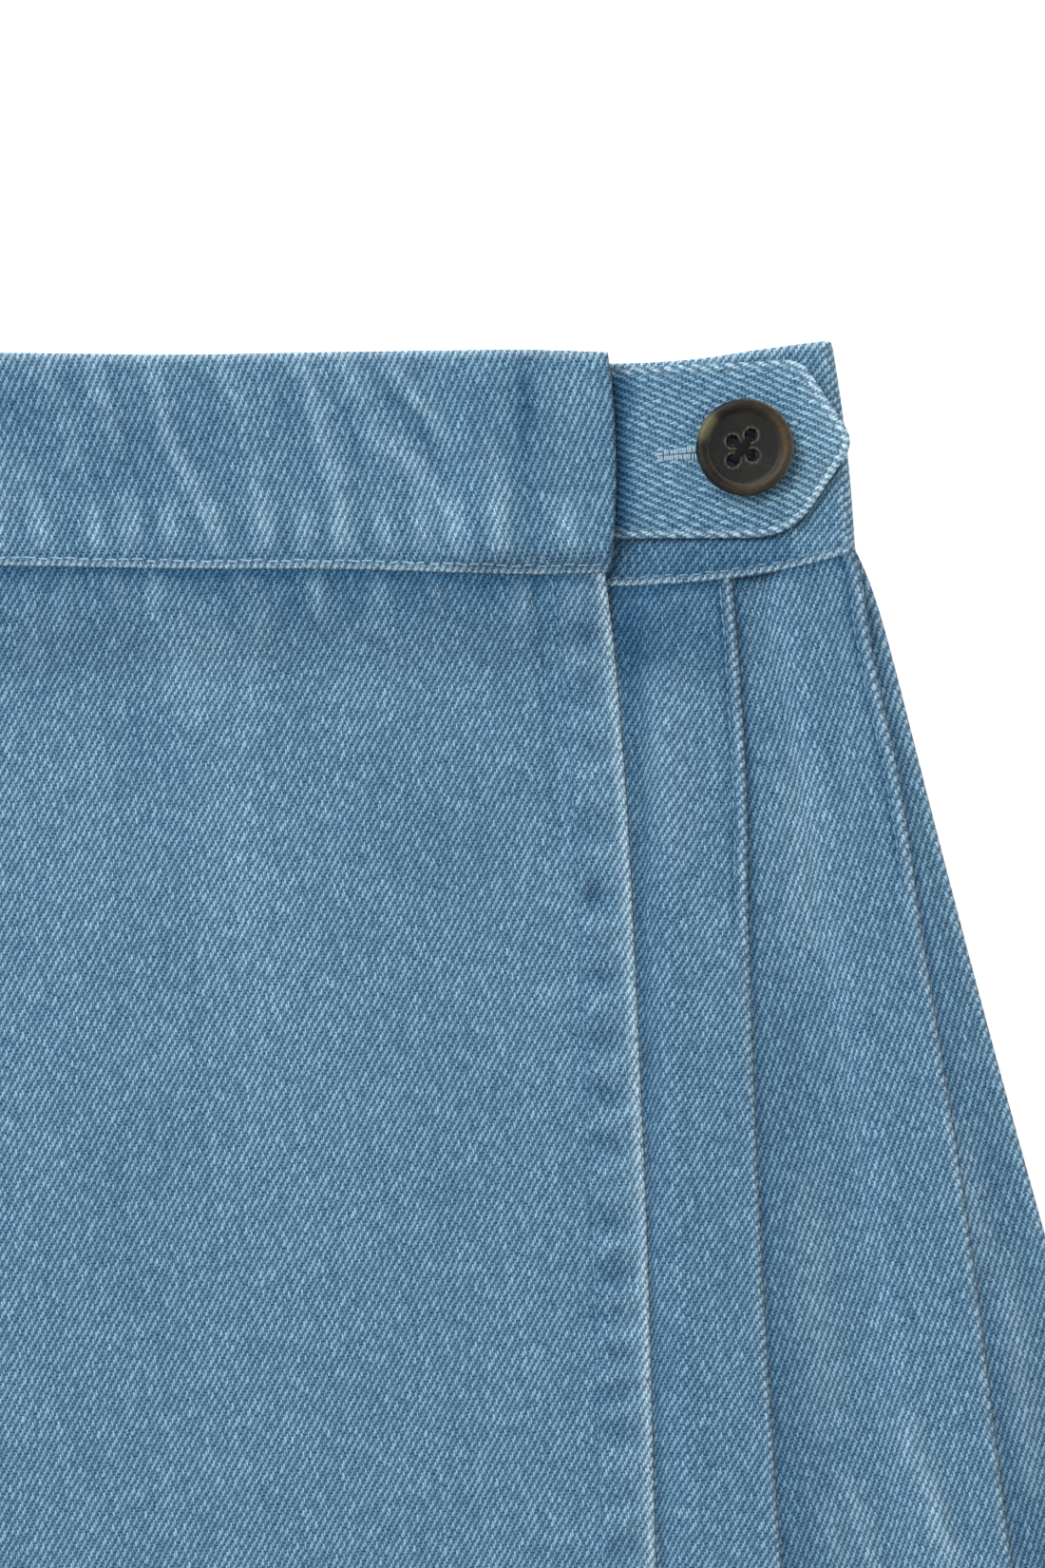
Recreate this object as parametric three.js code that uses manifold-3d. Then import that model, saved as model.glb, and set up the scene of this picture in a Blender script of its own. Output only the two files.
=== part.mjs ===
// Denim wrap skirt with two knife pleats, laid flat on its back.
// Millimetres, +Z up, +Y towards the waist, +X towards the buttoned side.
// A place is given as across (X) and down (how far below the top of the waistband's middle).
// Its layers from the floor up: back, underlap with its pleats, tab, over-wrap front, button.

import * as THREE from 'three';
import { mergeVertices } from 'three/addons/utils/BufferGeometryUtils.js';
import Module from 'manifold-3d';

const wasm = await Module();
wasm.setup();

// Driving sizes of the cloth
const LENGTH = 400;
const CLOTH = 1.0;
const BAND = 2.0;
const TAB_THICK = 1.8;
const GAP = 0.3;
const TURN_THICK = 0.7;
const HEM_TURN = 15;
const TURN_STEP = 2.5;
const EDGE_TURN = 10;
const EDGE_THIN = 0.55;
const SIDE_SEAM_IN = 14;

// Side outline: a straight waistband, then a flare that grows towards the hem
const CORNER_RISE = 2.1;
const CORNER_ACROSS = 170.6;
const WAIST_ACROSS = 175;
const WAIST_DOWN = 38;
const SIDE_FLARE = 0.24;
const SIDE_CURVE = 0.00016;
const HIP_SWELL = 2.2;
const HIP_REACH = 7;
const HEM_CURVE = 0.00042;

// Pleats and wrap: where each fold or free edge runs, and how deep the pleats lie under
const FOLDS = [
  { down: 41, wrap: 128.6, first: 151.8, second: 175.9 },
  { down: 56, wrap: 130.4, first: 153.0, second: 178.2 },
  { down: 82, wrap: 132.5, first: 154.4, second: 183.6 },
  { down: 108, wrap: 133.9, first: 154.9, second: 187.4 },
  { down: 165, wrap: 136.4, first: 157.3, second: 196.3 },
  { down: 224, wrap: 138.0, first: 161.2, second: 203.9 },
  { down: 312, wrap: 140.5, first: 168.0, second: 217.0 },
  { down: 400, wrap: 143.0, first: 175.5, second: 230.5 },
];
const PLEAT_DEPTH = 10.5;
const PLEAT_GROWTH = 7;
const RAMP = 5.8;
const RAMP_GROWTH = 4;

// Waistbands: top edge and lower seam, from the middle of the skirt to its side
const FRONT_BAND = [
  { across: -170, top: -2.1, seam: 38.0 },
  { across: -140, top: -1.2, seam: 38.9 },
  { across: -90, top: -0.2, seam: 39.7 },
  { across: 20, top: 0.2, seam: 39.9 },
  { across: 50, top: 0.5, seam: 40.4 },
  { across: 80, top: 0.0, seam: 40.5 },
  { across: 114, top: -0.3, seam: 41.4 },
  { across: 131, top: 0.2, seam: 41.2 },
];
const UNDER_BAND = [
  { across: 0, top: 2.1, seam: 43.6 },
  { across: 130, top: 2.1, seam: 43.6 },
  { across: 145, top: 1.3, seam: 42.8 },
  { across: 158, top: -0.6, seam: 41.2 },
  { across: 170, top: -2.1, seam: 38.7 },
  { across: 176, top: -2.1, seam: 38.0 },
];
const BACK_TOP_DROP = 1.2;
const BAND_END = { across: 129.1, swell: 1.5, middle: 23 };
const SEAM_REACH = 18;
const TAB_LIFT = { from: 96, to: 107, hold: 35.8, out: 40.8 };
const PLEAT_LIFT = { height: 0.9, from: 133, to: 141, hold: 35.8, out: 40 };

// Tab and button
const TAB_CORNERS = [
  { across: 108, down: 4.2, round: 1 },
  { across: 165.0, down: 1.4, round: 2.3 },
  { across: 174.9, down: 16.7, round: 3 },
  { across: 163.1, down: 34.5, round: 6 },
  { across: 108, down: 34.8, round: 1 },
];
const TAB_BEVEL = 0.4;
const BUTTON = { across: 154.4, down: 17.8, sides: 44 };
const BUTTON_PROFILE = [
  { out: 0, high: 0.0 },
  { out: 5.6, high: 0.0 },
  { out: 7.9, high: 0.6 },
  { out: 8.8, high: 1.3 },
  { out: 9.0, high: 1.9 },
  { out: 8.7, high: 2.6 },
  { out: 8.1, high: 3.0 },
  { out: 7.4, high: 2.95 },
  { out: 6.7, high: 2.5 },
  { out: 6.2, high: 2.15 },
  { out: 0, high: 1.9 },
];
const HOLE = { radius: 1.05, spread: 2.55, turn: 0.96, past: 1, sides: 14 };
const THREAD = { shank: 1.1, post: 0.6, bar: 0.45, over: 0.35, sides: 8 };
const SLIT = { from: 140.5, to: 158.5, half: 1.7 };

// How finely the walls are divided: stations round a turn, up a ramp and along a wide stretch
const FINE = { turn: 7, pleatTurn: 6, ramp: 4, step: 6, wide: 12, back: 17, narrow: 3 };
const EDGE_IN = 0.8;

// Finishes
const DENIM = new THREE.MeshStandardMaterial({ color: '#648aa5', roughness: 0.92, metalness: 0 });
const TAB_DENIM = new THREE.MeshStandardMaterial({ color: '#587b94', roughness: 0.92, metalness: 0 });
const HORN = new THREE.MeshStandardMaterial({ color: '#2e2a26', roughness: 0.38, metalness: 0 });
const SEWING = new THREE.MeshStandardMaterial({ color: '#23282e', roughness: 0.8, metalness: 0 });

const { clamp, lerp, smoothstep } = THREE.MathUtils;

// Makes smooth curves through a table's named columns, held level past its ends.
function curves(table, key) {
  const places = table.map((row) => row[key]);
  const columns = Object.keys(table[0]).filter((name) => name !== key);
  const made = {};
  for (const name of columns) {
    const samples = table.map((row) => row[name]);
    const curve = new THREE.CubicInterpolant(places, samples, 1);
    made[name] = (at) => curve.evaluate(clamp(at, places[0], places.at(-1)))[0];
  }
  return made;
}

const folds = curves(FOLDS, 'down');
const frontBand = curves(FRONT_BAND, 'across');
const underBand = curves(UNDER_BAND, 'across');
const backBand = {
  top: (across) => underBand.top(Math.abs(across)) + BACK_TOP_DROP,
  seam: (across) => underBand.seam(Math.abs(across)),
};

const up = (down) => (LENGTH - CORNER_RISE) / 2 - down;
const hem = (across) => LENGTH - HEM_CURVE * across * across;
const growth = (down) => (clamp(down, 0, LENGTH) / LENGTH) ** 2;

function side(down) {
  if (down < WAIST_DOWN) {
    const share = (down + CORNER_RISE) / (WAIST_DOWN + CORNER_RISE);
    return lerp(CORNER_ACROSS, WAIST_ACROSS, share);
  }
  const below = down - WAIST_DOWN;
  const swell = HIP_SWELL * (1 - Math.exp(-below / HIP_REACH));
  return WAIST_ACROSS + SIDE_FLARE * below + SIDE_CURVE * below * below + swell;
}

// Rows of a panel, from its seam to its hem. Near the seam and the hem they keep their distance.
const PANEL_ROWS = [
  { below: 0 },
  { below: 4 },
  { below: 8 },
  { below: 12 },
  { below: SEAM_REACH },
  { share: 0.04 },
  { share: 0.1 },
  { share: 0.18 },
  { share: 0.27 },
  { share: 0.37 },
  { share: 0.47 },
  { share: 0.57 },
  { share: 0.67 },
  { share: 0.77 },
  { share: 0.87 },
  { share: 0.95 },
  { above: HEM_TURN + TURN_STEP / 2 },
  { above: HEM_TURN - TURN_STEP / 2, turn: 1 },
  { above: EDGE_IN, turn: 1 },
  { above: 0, turn: 1, edge: EDGE_THIN },
];
const BAND_ROWS = [
  { share: 0, edge: EDGE_THIN },
  { share: 0.02 },
  { share: 0.25 },
  { share: 0.5 },
  { share: 0.75 },
  { share: 0.87 },
  { share: 0.93 },
  { share: 0.98 },
  { share: 1, edge: EDGE_THIN },
];

function panelDown(row, across, band) {
  const seam = band.seam(across) + GAP;
  const first = seam + SEAM_REACH;
  const last = hem(across) - HEM_TURN - TURN_STEP / 2;
  if (row.below !== undefined) return seam + row.below;
  if (row.above !== undefined) return hem(across) - row.above;
  return lerp(first, last, row.share);
}

function bandDown(row, across, band) {
  return lerp(band.top(across), band.seam(across), row.share);
}

// A station says where it lies across a row and how high the middle of its cloth is.
// Where the two depend on how far down the row is, the place is found by repeating.
const PLACE_PASSES = 8;

function pointAt(row, station, cloth) {
  const stack = cloth.thick + TURN_THICK * (row.turn ?? 0);
  const whole = cloth.thick + TURN_THICK * Math.max(row.turn ?? 0, station.turn ?? 0);
  let across = 0;
  let down = 0;
  for (let pass = 0; pass < PLACE_PASSES; pass += 1) {
    down = cloth.down(row, across, cloth.band);
    across = station.place(down, whole);
  }
  const high = station.high(across, down, whole, stack);
  const thick = whole * Math.min(row.edge ?? 1, station.edge ?? 1);
  return { middle: new THREE.Vector3(across, up(down), high), thick };
}

// Closes a wall round a grid of middle points, half its thickness to each side.
function wall(rows) {
  const tall = rows.length;
  const wide = rows[0].length;
  const corners = [];
  for (const face of [0.5, -0.5]) {
    for (let i = 0; i < tall; i += 1) {
      for (let j = 0; j < wide; j += 1) {
        const along = rows[i][Math.min(j + 1, wide - 1)].middle.clone();
        along.sub(rows[i][Math.max(j - 1, 0)].middle);
        const fall = rows[Math.min(i + 1, tall - 1)][j].middle.clone();
        fall.sub(rows[Math.max(i - 1, 0)][j].middle);
        const normal = fall.cross(along).normalize();
        const corner = normal.multiplyScalar(rows[i][j].thick * face).add(rows[i][j].middle);
        corners.push(corner.x, corner.y, corner.z);
      }
    }
  }
  const at = (face, i, j) => face * tall * wide + i * wide + j;
  const index = [];
  const quad = (a, b, c, d) => index.push(a, b, c, a, c, d);
  for (let i = 0; i + 1 < tall; i += 1) {
    for (let j = 0; j + 1 < wide; j += 1) {
      quad(at(0, i, j), at(0, i + 1, j), at(0, i + 1, j + 1), at(0, i, j + 1));
      quad(at(1, i, j), at(1, i, j + 1), at(1, i + 1, j + 1), at(1, i + 1, j));
    }
    quad(at(1, i, 0), at(1, i + 1, 0), at(0, i + 1, 0), at(0, i, 0));
    quad(at(0, i, wide - 1), at(0, i + 1, wide - 1), at(1, i + 1, wide - 1), at(1, i, wide - 1));
  }
  for (let j = 0; j + 1 < wide; j += 1) {
    quad(at(0, 0, j), at(0, 0, j + 1), at(1, 0, j + 1), at(1, 0, j));
    quad(at(1, tall - 1, j), at(1, tall - 1, j + 1), at(0, tall - 1, j + 1), at(0, tall - 1, j));
  }
  const geometry = new THREE.BufferGeometry();
  geometry.setAttribute('position', new THREE.Float32BufferAttribute(corners, 3));
  geometry.setIndex(index);
  return outward(geometry);
}

// Turns a closed geometry's faces out where its volume comes out negative.
function outward(geometry) {
  const place = geometry.attributes.position;
  const index = geometry.index;
  const corner = (n) => new THREE.Vector3().fromBufferAttribute(place, index.getX(n));
  let volume = 0;
  for (let n = 0; n < index.count; n += 3) {
    volume += corner(n).dot(corner(n + 1).cross(corner(n + 2)));
  }
  if (volume < 0) index.array.reverse();
  geometry.computeVertexNormals();
  return geometry;
}

function makeCloth(name, cloth, material = DENIM) {
  const rows = cloth.rows.map((row) => cloth.stations.map((station) => pointAt(row, station, cloth)));
  const mesh = new THREE.Mesh(wall(rows), material);
  mesh.name = name;
  return mesh;
}

// Stations spread evenly between two places, both ends included.
function spread(count, from, to, high, extra = {}) {
  return Array.from({ length: count }, (_, n) => {
    const share = n / (count - 1);
    return { place: (down, thick) => lerp(from(down, thick), to(down, thick), share), high, ...extra };
  });
}

// Stations of a soft step between two heights.
function ramp(count, from, to, highFrom, highTo) {
  return Array.from({ length: count }, (_, n) => {
    const share = (n + 1) / (count + 1);
    const soft = smoothstep(share, 0, 1);
    return {
      place: (down, thick) => lerp(from(down, thick), to(down, thick), share),
      high: (...here) => lerp(highFrom(...here), highTo(...here), soft),
    };
  });
}

// Stations of a half turn: the cloth goes round an outer edge from one height to another.
function turn(count, sign, edge, highFrom, highTo) {
  return Array.from({ length: count }, (_, n) => {
    const angle = (Math.PI * n) / (count - 1);
    const reach = (down, thick) => {
      const across = edge(down, thick);
      const from = highFrom(across, down, thick, thick);
      const to = highTo(across, down, thick, thick);
      return { across, middle: (from + to) / 2, radius: (from - to) / 2 };
    };
    return {
      place: (down, thick) => {
        const bend = reach(down, thick);
        const inner = bend.across - sign * (Math.abs(bend.radius) + thick / 2);
        return inner + sign * Math.abs(bend.radius) * Math.sin(angle);
      },
      high: (_across, down, thick) => {
        const bend = reach(down, thick);
        return bend.middle + bend.radius * Math.cos(angle);
      },
    };
  });
}

// Where a turned edge's flat part begins, inside its half turn.
const insideTurn = (sign, edge, highFrom, highTo) => (down, thick) => {
  const across = edge(down, thick);
  const bend = highFrom(across, down, thick, thick) - highTo(across, down, thick, thick);
  return across - sign * (Math.abs(bend) / 2 + thick / 2);
};

// Height of the middle of a layer of cloth that lies on some others.
const layer = (under) => (_across, _down, thick, stack) => under * (stack + GAP) + thick / 2;
const floorLayer = (_across, _down, thick) => thick / 2;

// The panels rise to the middle of the band that they are sewn into.
function seamFade(across, down) {
  const seam = underBand.seam(Math.abs(across));
  return 1 - smoothstep(down, seam + 3, seam + SEAM_REACH);
}

const bandMiddle = (under) => under * (BAND + GAP) + BAND / 2;

const minus = (curve, offset) => (down, thick) => curve(down, thick) - offset;
const sideRight = (down) => side(down);
const sideLeft = (down) => -side(down);
const freeEdge = (down) => -folds.wrap(down);
const pleatDepth = (down) => PLEAT_DEPTH + PLEAT_GROWTH * growth(down);
const rampWidth = (down) => RAMP + RAMP_GROWTH * growth(down);

// Back: one flat wall on the floor between the two side seams.
function backPanel() {
  const seam = (sign) => (down) => sign * (side(down) - SIDE_SEAM_IN - GAP);
  const stations = spread(FINE.back, seam(-1), seam(1), floorLayer);
  return makeCloth('back_panel', {
    thick: CLOTH, down: panelDown, band: backBand, rows: PANEL_ROWS, stations,
  });
}

function backWaistband() {
  const seam = (sign) => (down) => sign * (side(down) - SIDE_SEAM_IN - GAP);
  const stations = spread(FINE.back, seam(-1), seam(1), floorLayer);
  return makeCloth('back_waistband', {
    thick: BAND, down: bandDown, band: backBand, rows: BAND_ROWS, stations,
  });
}

// One knife pleat, its fold towards +X: ramp up, top layer, half turn, middle, half turn back.
function pleat(fold, lowBefore) {
  const turnReach = (thick) => thick + GAP / 2;
  const foldEdge = (down) => folds[fold](down);
  const underEdge = (down, thick) => foldEdge(down) - pleatDepth(down) - 2 * turnReach(thick);
  const foot = (down, thick) => underEdge(down, thick) - rampWidth(down);
  const top = layer(3);
  const middle = layer(2);
  const low = layer(1);
  return {
    foot,
    stations: [
      { place: foot, high: lowBefore },
      ...ramp(FINE.ramp, foot, underEdge, lowBefore, top),
      ...spread(2, underEdge, minus(foldEdge, PLEAT_DEPTH / 2), top),
      ...turn(FINE.pleatTurn, 1, foldEdge, top, middle),
      ...turn(FINE.pleatTurn, -1, underEdge, middle, low),
    ],
  };
}

function underlapPanel() {
  const low = layer(1);
  const lifted = (across, down, thick, stack) => {
    const flat = low(across, down, thick, stack);
    return lerp(flat, bandMiddle(1), seamFade(across, down));
  };
  const first = pleat('first', lifted);
  const second = pleat('second', low);
  const stations = [
    { place: freeEdge, high: lifted, edge: EDGE_THIN },
    ...spread(FINE.wide, minus(freeEdge, -EDGE_IN), minus(first.foot, RAMP / 2), lifted),
    ...first.stations,
    { place: (down, thick) => lerp(folds.first(down), second.foot(down, thick), 0.5), high: low },
    ...second.stations,
    ...turn(FINE.turn, 1, sideRight, low, floorLayer),
    { place: minus(side, SIDE_SEAM_IN), high: floorLayer },
  ];
  return makeCloth('underlap_panel', {
    thick: CLOTH, down: panelDown, band: underBand, rows: PANEL_ROWS, stations,
  });
}

const bandFreeEdge = () => -folds.wrap(WAIST_DOWN);

// The underlap's waistband swells over the pleats' layers along its lower edge.
function underlapWaistband() {
  const high = (across, down) => {
    const overPleats = smoothstep(across, PLEAT_LIFT.from, PLEAT_LIFT.to);
    const towardsSeam = smoothstep(down, PLEAT_LIFT.hold, PLEAT_LIFT.out);
    return bandMiddle(1) + PLEAT_LIFT.height * overPleats * towardsSeam;
  };
  const inner = insideTurn(1, sideRight, high, floorLayer);
  const stations = [
    { place: bandFreeEdge, high, edge: EDGE_THIN },
    ...spread(FINE.wide, minus(bandFreeEdge, -EDGE_IN), () => PLEAT_LIFT.from, high),
    ...spread(FINE.wide, () => PLEAT_LIFT.from + 2, minus(inner, 2), high),
    ...turn(FINE.turn, 1, sideRight, high, floorLayer),
    { place: minus(side, SIDE_SEAM_IN), high: floorLayer },
  ];
  return makeCloth('underlap_waistband', {
    thick: BAND, down: bandDown, band: underBand, rows: BAND_ROWS, stations,
  });
}

// The front lies over the underlap, steps down past its free edge, and turns under at the left.
const STEP = { start: 0.4, first: 1.5, width: 9 };

function frontPanel() {
  const stepShare = (across, down) => {
    const past = freeEdge(down) - STEP.start - across;
    return 1 - smoothstep(past, 0, STEP.width);
  };
  const high = (across, down, thick, stack) => {
    const flat = lerp(1, 2, stepShare(across, down)) * (stack + GAP) + thick / 2;
    const sewn = lerp(bandMiddle(1), bandMiddle(2), stepShare(across, down));
    return lerp(flat, sewn, seamFade(across, down));
  };
  const wrap = (down) => folds.wrap(down);
  const edge = { turn: 1 };
  const stepTop = minus(freeEdge, STEP.start);
  const stepFoot = minus(stepTop, STEP.width);
  const inner = insideTurn(-1, sideLeft, high, floorLayer);
  const stations = [
    { place: wrap, high, turn: 1, edge: EDGE_THIN },
    ...spread(FINE.narrow, minus(wrap, EDGE_IN), minus(wrap, EDGE_TURN - TURN_STEP / 2), high, edge),
    ...spread(FINE.wide, minus(wrap, EDGE_TURN + TURN_STEP / 2), stepTop, high),
    ...spread(FINE.step, minus(stepTop, STEP.first), minus(stepFoot, -STEP.first), high),
    ...spread(FINE.narrow, stepFoot, minus(inner, -3), high),
    ...turn(FINE.turn, -1, sideLeft, high, floorLayer),
    { place: (down) => SIDE_SEAM_IN - side(down), high: floorLayer },
  ];
  return makeCloth('front_panel', {
    thick: CLOTH, down: panelDown, band: frontBand, rows: PANEL_ROWS, stations,
  });
}

// Its waistband rises over the tab at its free end, and steps down past the underlap's end.
function frontWaistband() {
  const stepTop = minus(bandFreeEdge, STEP.start);
  const stepFoot = minus(stepTop, STEP.width);
  const high = (across, down) => {
    const overTab = smoothstep(across, TAB_LIFT.from, TAB_LIFT.to);
    const aboveSeam = 1 - smoothstep(down, TAB_LIFT.hold, TAB_LIFT.out);
    const overUnderlap = 1 - smoothstep(stepTop() - across, 0, STEP.width);
    return bandMiddle(1 + overUnderlap) + (TAB_THICK + GAP) * overTab * aboveSeam;
  };
  const end = (down) => {
    const away = (down - BAND_END.middle) / BAND_END.middle;
    return BAND_END.across + BAND_END.swell * (1 - away * away);
  };
  const inner = insideTurn(-1, sideLeft, high, floorLayer);
  const stations = [
    { place: end, high, edge: EDGE_THIN },
    ...spread(FINE.narrow, minus(end, EDGE_IN), minus(end, EDGE_TURN), high),
    ...spread(FINE.step, () => TAB_LIFT.to, () => TAB_LIFT.from, high),
    ...spread(FINE.wide, () => TAB_LIFT.from - EDGE_TURN, stepTop, high),
    ...spread(FINE.step, minus(stepTop, STEP.first), stepFoot, high),
    ...spread(FINE.narrow, minus(stepFoot, 4), minus(inner, -2), high),
    ...turn(FINE.turn, -1, sideLeft, high, floorLayer),
    { place: (down) => SIDE_SEAM_IN - side(down), high: floorLayer },
  ];
  return makeCloth('front_waistband', {
    thick: BAND, down: bandDown, band: frontBand, rows: BAND_ROWS, stations,
  });
}

// Tab: a pointed strip with rounded corners and a buttonhole that its button spreads.
const TAB_FLOOR = 2 * (BAND + GAP);

function tabOutline() {
  const corners = TAB_CORNERS.map((corner) => new THREE.Vector2(corner.across, up(corner.down)));
  const shape = new THREE.Shape();
  corners.forEach((corner, n) => {
    const before = corners[(n + corners.length - 1) % corners.length];
    const after = corners[(n + 1) % corners.length];
    const round = TAB_CORNERS[n].round;
    const start = before.clone().sub(corner).setLength(round).add(corner);
    const finish = after.clone().sub(corner).setLength(round).add(corner);
    if (n === 0) shape.moveTo(start.x, start.y);
    else shape.lineTo(start.x, start.y);
    shape.quadraticCurveTo(corner.x, corner.y, finish.x, finish.y);
  });
  shape.closePath();
  return shape;
}

function slitOutline() {
  const level = up(BUTTON.down);
  const left = new THREE.Vector2(SLIT.from, level);
  const right = new THREE.Vector2(SLIT.to, level);
  const slit = new THREE.Path();
  slit.moveTo(left.x, left.y);
  slit.quadraticCurveTo(BUTTON.across, level - 2 * SLIT.half, right.x, right.y);
  slit.quadraticCurveTo(BUTTON.across, level + 2 * SLIT.half, left.x, left.y);
  return slit;
}

function waistTab() {
  const shape = tabOutline();
  shape.holes.push(slitOutline());
  const geometry = new THREE.ExtrudeGeometry(shape, {
    depth: TAB_THICK - 2 * TAB_BEVEL,
    curveSegments: 5,
    bevelEnabled: true,
    bevelThickness: TAB_BEVEL,
    bevelSize: TAB_BEVEL,
    bevelOffset: -TAB_BEVEL,
    bevelSegments: 2,
  });
  const mesh = new THREE.Mesh(geometry, TAB_DENIM);
  mesh.position.z = TAB_FLOOR + TAB_BEVEL;
  mesh.name = 'waist_tab';
  return mesh;
}

// Passes between three.js geometry and solids that can be joined and cut.
function solid(geometry) {
  const bare = geometry.clone();
  bare.deleteAttribute('normal');
  bare.deleteAttribute('uv');
  const merged = mergeVertices(bare, 1e-4);
  return new wasm.Manifold(new wasm.Mesh({
    numProp: 3,
    vertProperties: new Float32Array(merged.attributes.position.array),
    triVerts: new Uint32Array(merged.index.array),
  }));
}

function geometryOf(body) {
  const mesh = body.getMesh();
  const geometry = new THREE.BufferGeometry();
  geometry.setAttribute('position', new THREE.BufferAttribute(mesh.vertProperties, mesh.numProp));
  geometry.setIndex(new THREE.BufferAttribute(mesh.triVerts, 1));
  geometry.computeVertexNormals();
  return geometry;
}

const holePlaces = [0, 1, 2, 3].map((n) => {
  const angle = HOLE.turn + (Math.PI / 2) * n;
  return { x: HOLE.spread * Math.cos(angle), y: HOLE.spread * Math.sin(angle) };
});

// An upright rod between two heights.
function rod(radius, from, to, sides, place = { x: 0, y: 0 }) {
  const geometry = new THREE.CylinderGeometry(radius, radius, to - from, sides);
  geometry.rotateX(Math.PI / 2);
  geometry.translate(place.x, place.y, (from + to) / 2);
  return solid(geometry);
}

// Button: a turned disc with a rounded rim, a sunk face and four sewing holes.
const BUTTON_FLOOR = TAB_FLOOR + TAB_THICK + GAP;

function buttonMesh() {
  const profile = BUTTON_PROFILE.map((point) => new THREE.Vector2(point.out, point.high));
  const lathe = new THREE.LatheGeometry(profile, BUTTON.sides);
  lathe.rotateX(Math.PI / 2);
  const face = BUTTON_PROFILE.at(-1).high;
  let body = solid(lathe);
  for (const place of holePlaces) {
    body = body.subtract(rod(HOLE.radius, -HOLE.past, face + HOLE.past, HOLE.sides, place));
  }
  const mesh = new THREE.Mesh(geometryOf(body), HORN);
  mesh.position.set(BUTTON.across, up(BUTTON.down), BUTTON_FLOOR);
  mesh.name = 'button';
  return mesh;
}

// Thread: a shank through the buttonhole, a post in each hole and two crossing bars on top.
function buttonThread() {
  const shankFloor = TAB_FLOOR - BUTTON_FLOOR;
  const plateTop = -GAP / 2;
  const face = BUTTON_PROFILE.at(-1).high + THREAD.over;
  let body = rod(THREAD.shank, shankFloor, plateTop, 2 * THREAD.sides);
  body = body.add(rod(HOLE.spread + THREAD.post, plateTop - GAP / 2, plateTop, 2 * THREAD.sides));
  for (const place of holePlaces) {
    body = body.add(rod(THREAD.post, plateTop - GAP / 2, face + THREAD.bar, THREAD.sides, place));
  }
  for (const n of [0, 1]) {
    const bar = new THREE.BoxGeometry(2 * HOLE.spread, 2 * THREAD.post, THREAD.bar);
    bar.rotateZ(HOLE.turn + (Math.PI / 2) * n);
    bar.translate(0, 0, face + THREAD.bar / 2);
    body = body.add(solid(bar));
  }
  const mesh = new THREE.Mesh(geometryOf(body), SEWING);
  mesh.position.set(BUTTON.across, up(BUTTON.down), BUTTON_FLOOR);
  mesh.name = 'button_thread';
  return mesh;
}

const skirt = new THREE.Group();
skirt.name = 'denim_wrap_skirt';
skirt.add(backPanel());
skirt.add(backWaistband());
skirt.add(underlapPanel());
skirt.add(underlapWaistband());
skirt.add(frontPanel());
skirt.add(frontWaistband());
skirt.add(waistTab());
skirt.add(buttonMesh());
skirt.add(buttonThread());

export default skirt;
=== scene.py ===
"""Looks of a light-blue denim wrap skirt laid flat: cloth shells, sewing, button, floor, light and camera.

Places on the skirt are in millimetres, as across (X) and down (below the waistband's top middle).
"""

import math

import bpy
import numpy as np
from mathutils.bvhtree import BVHTree
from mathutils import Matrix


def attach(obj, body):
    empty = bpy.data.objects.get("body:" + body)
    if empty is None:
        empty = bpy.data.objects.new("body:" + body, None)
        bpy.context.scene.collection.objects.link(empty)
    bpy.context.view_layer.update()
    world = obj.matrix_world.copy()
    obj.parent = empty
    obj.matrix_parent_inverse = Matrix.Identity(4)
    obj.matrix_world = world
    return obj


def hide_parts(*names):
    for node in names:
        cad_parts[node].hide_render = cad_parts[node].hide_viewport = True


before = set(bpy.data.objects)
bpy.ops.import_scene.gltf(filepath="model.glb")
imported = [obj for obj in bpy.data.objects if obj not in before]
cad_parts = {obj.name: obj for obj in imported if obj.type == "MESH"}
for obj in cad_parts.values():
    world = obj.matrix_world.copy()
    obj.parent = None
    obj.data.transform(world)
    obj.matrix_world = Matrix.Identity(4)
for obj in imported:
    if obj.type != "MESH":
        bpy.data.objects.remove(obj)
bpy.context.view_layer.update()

MM = 0.001

# Driving sizes of the cloth, as in the frame
LENGTH = 400.0
CLOTH = 1.0
BAND = 2.0
TAB_THICK = 1.8
GAP = 0.3
TURN_THICK = 0.7
HEM_TURN = 15.0
TURN_STEP = 2.5
EDGE_TURN = 10.0
SIDE_SEAM_IN = 14.0
CORNER_RISE = 2.1
CORNER_ACROSS = 170.6
WAIST_ACROSS = 175.0
WAIST_DOWN = 36.8
WAIST_SWELL = 0.6
SIDE_FLARE = 0.24
SIDE_CURVE = 0.00016
HIP_SWELL = 2.2
HIP_REACH = 7.0
HEM_CURVE = 0.00042
PLEAT_DEPTH = 10.5
PLEAT_GROWTH = 7.0
RAMP = 5.8
RAMP_GROWTH = 4.0
SEAM_REACH = 18.0
BACK_TOP_DROP = 1.2
SEAM_TUCK = 1.3

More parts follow.
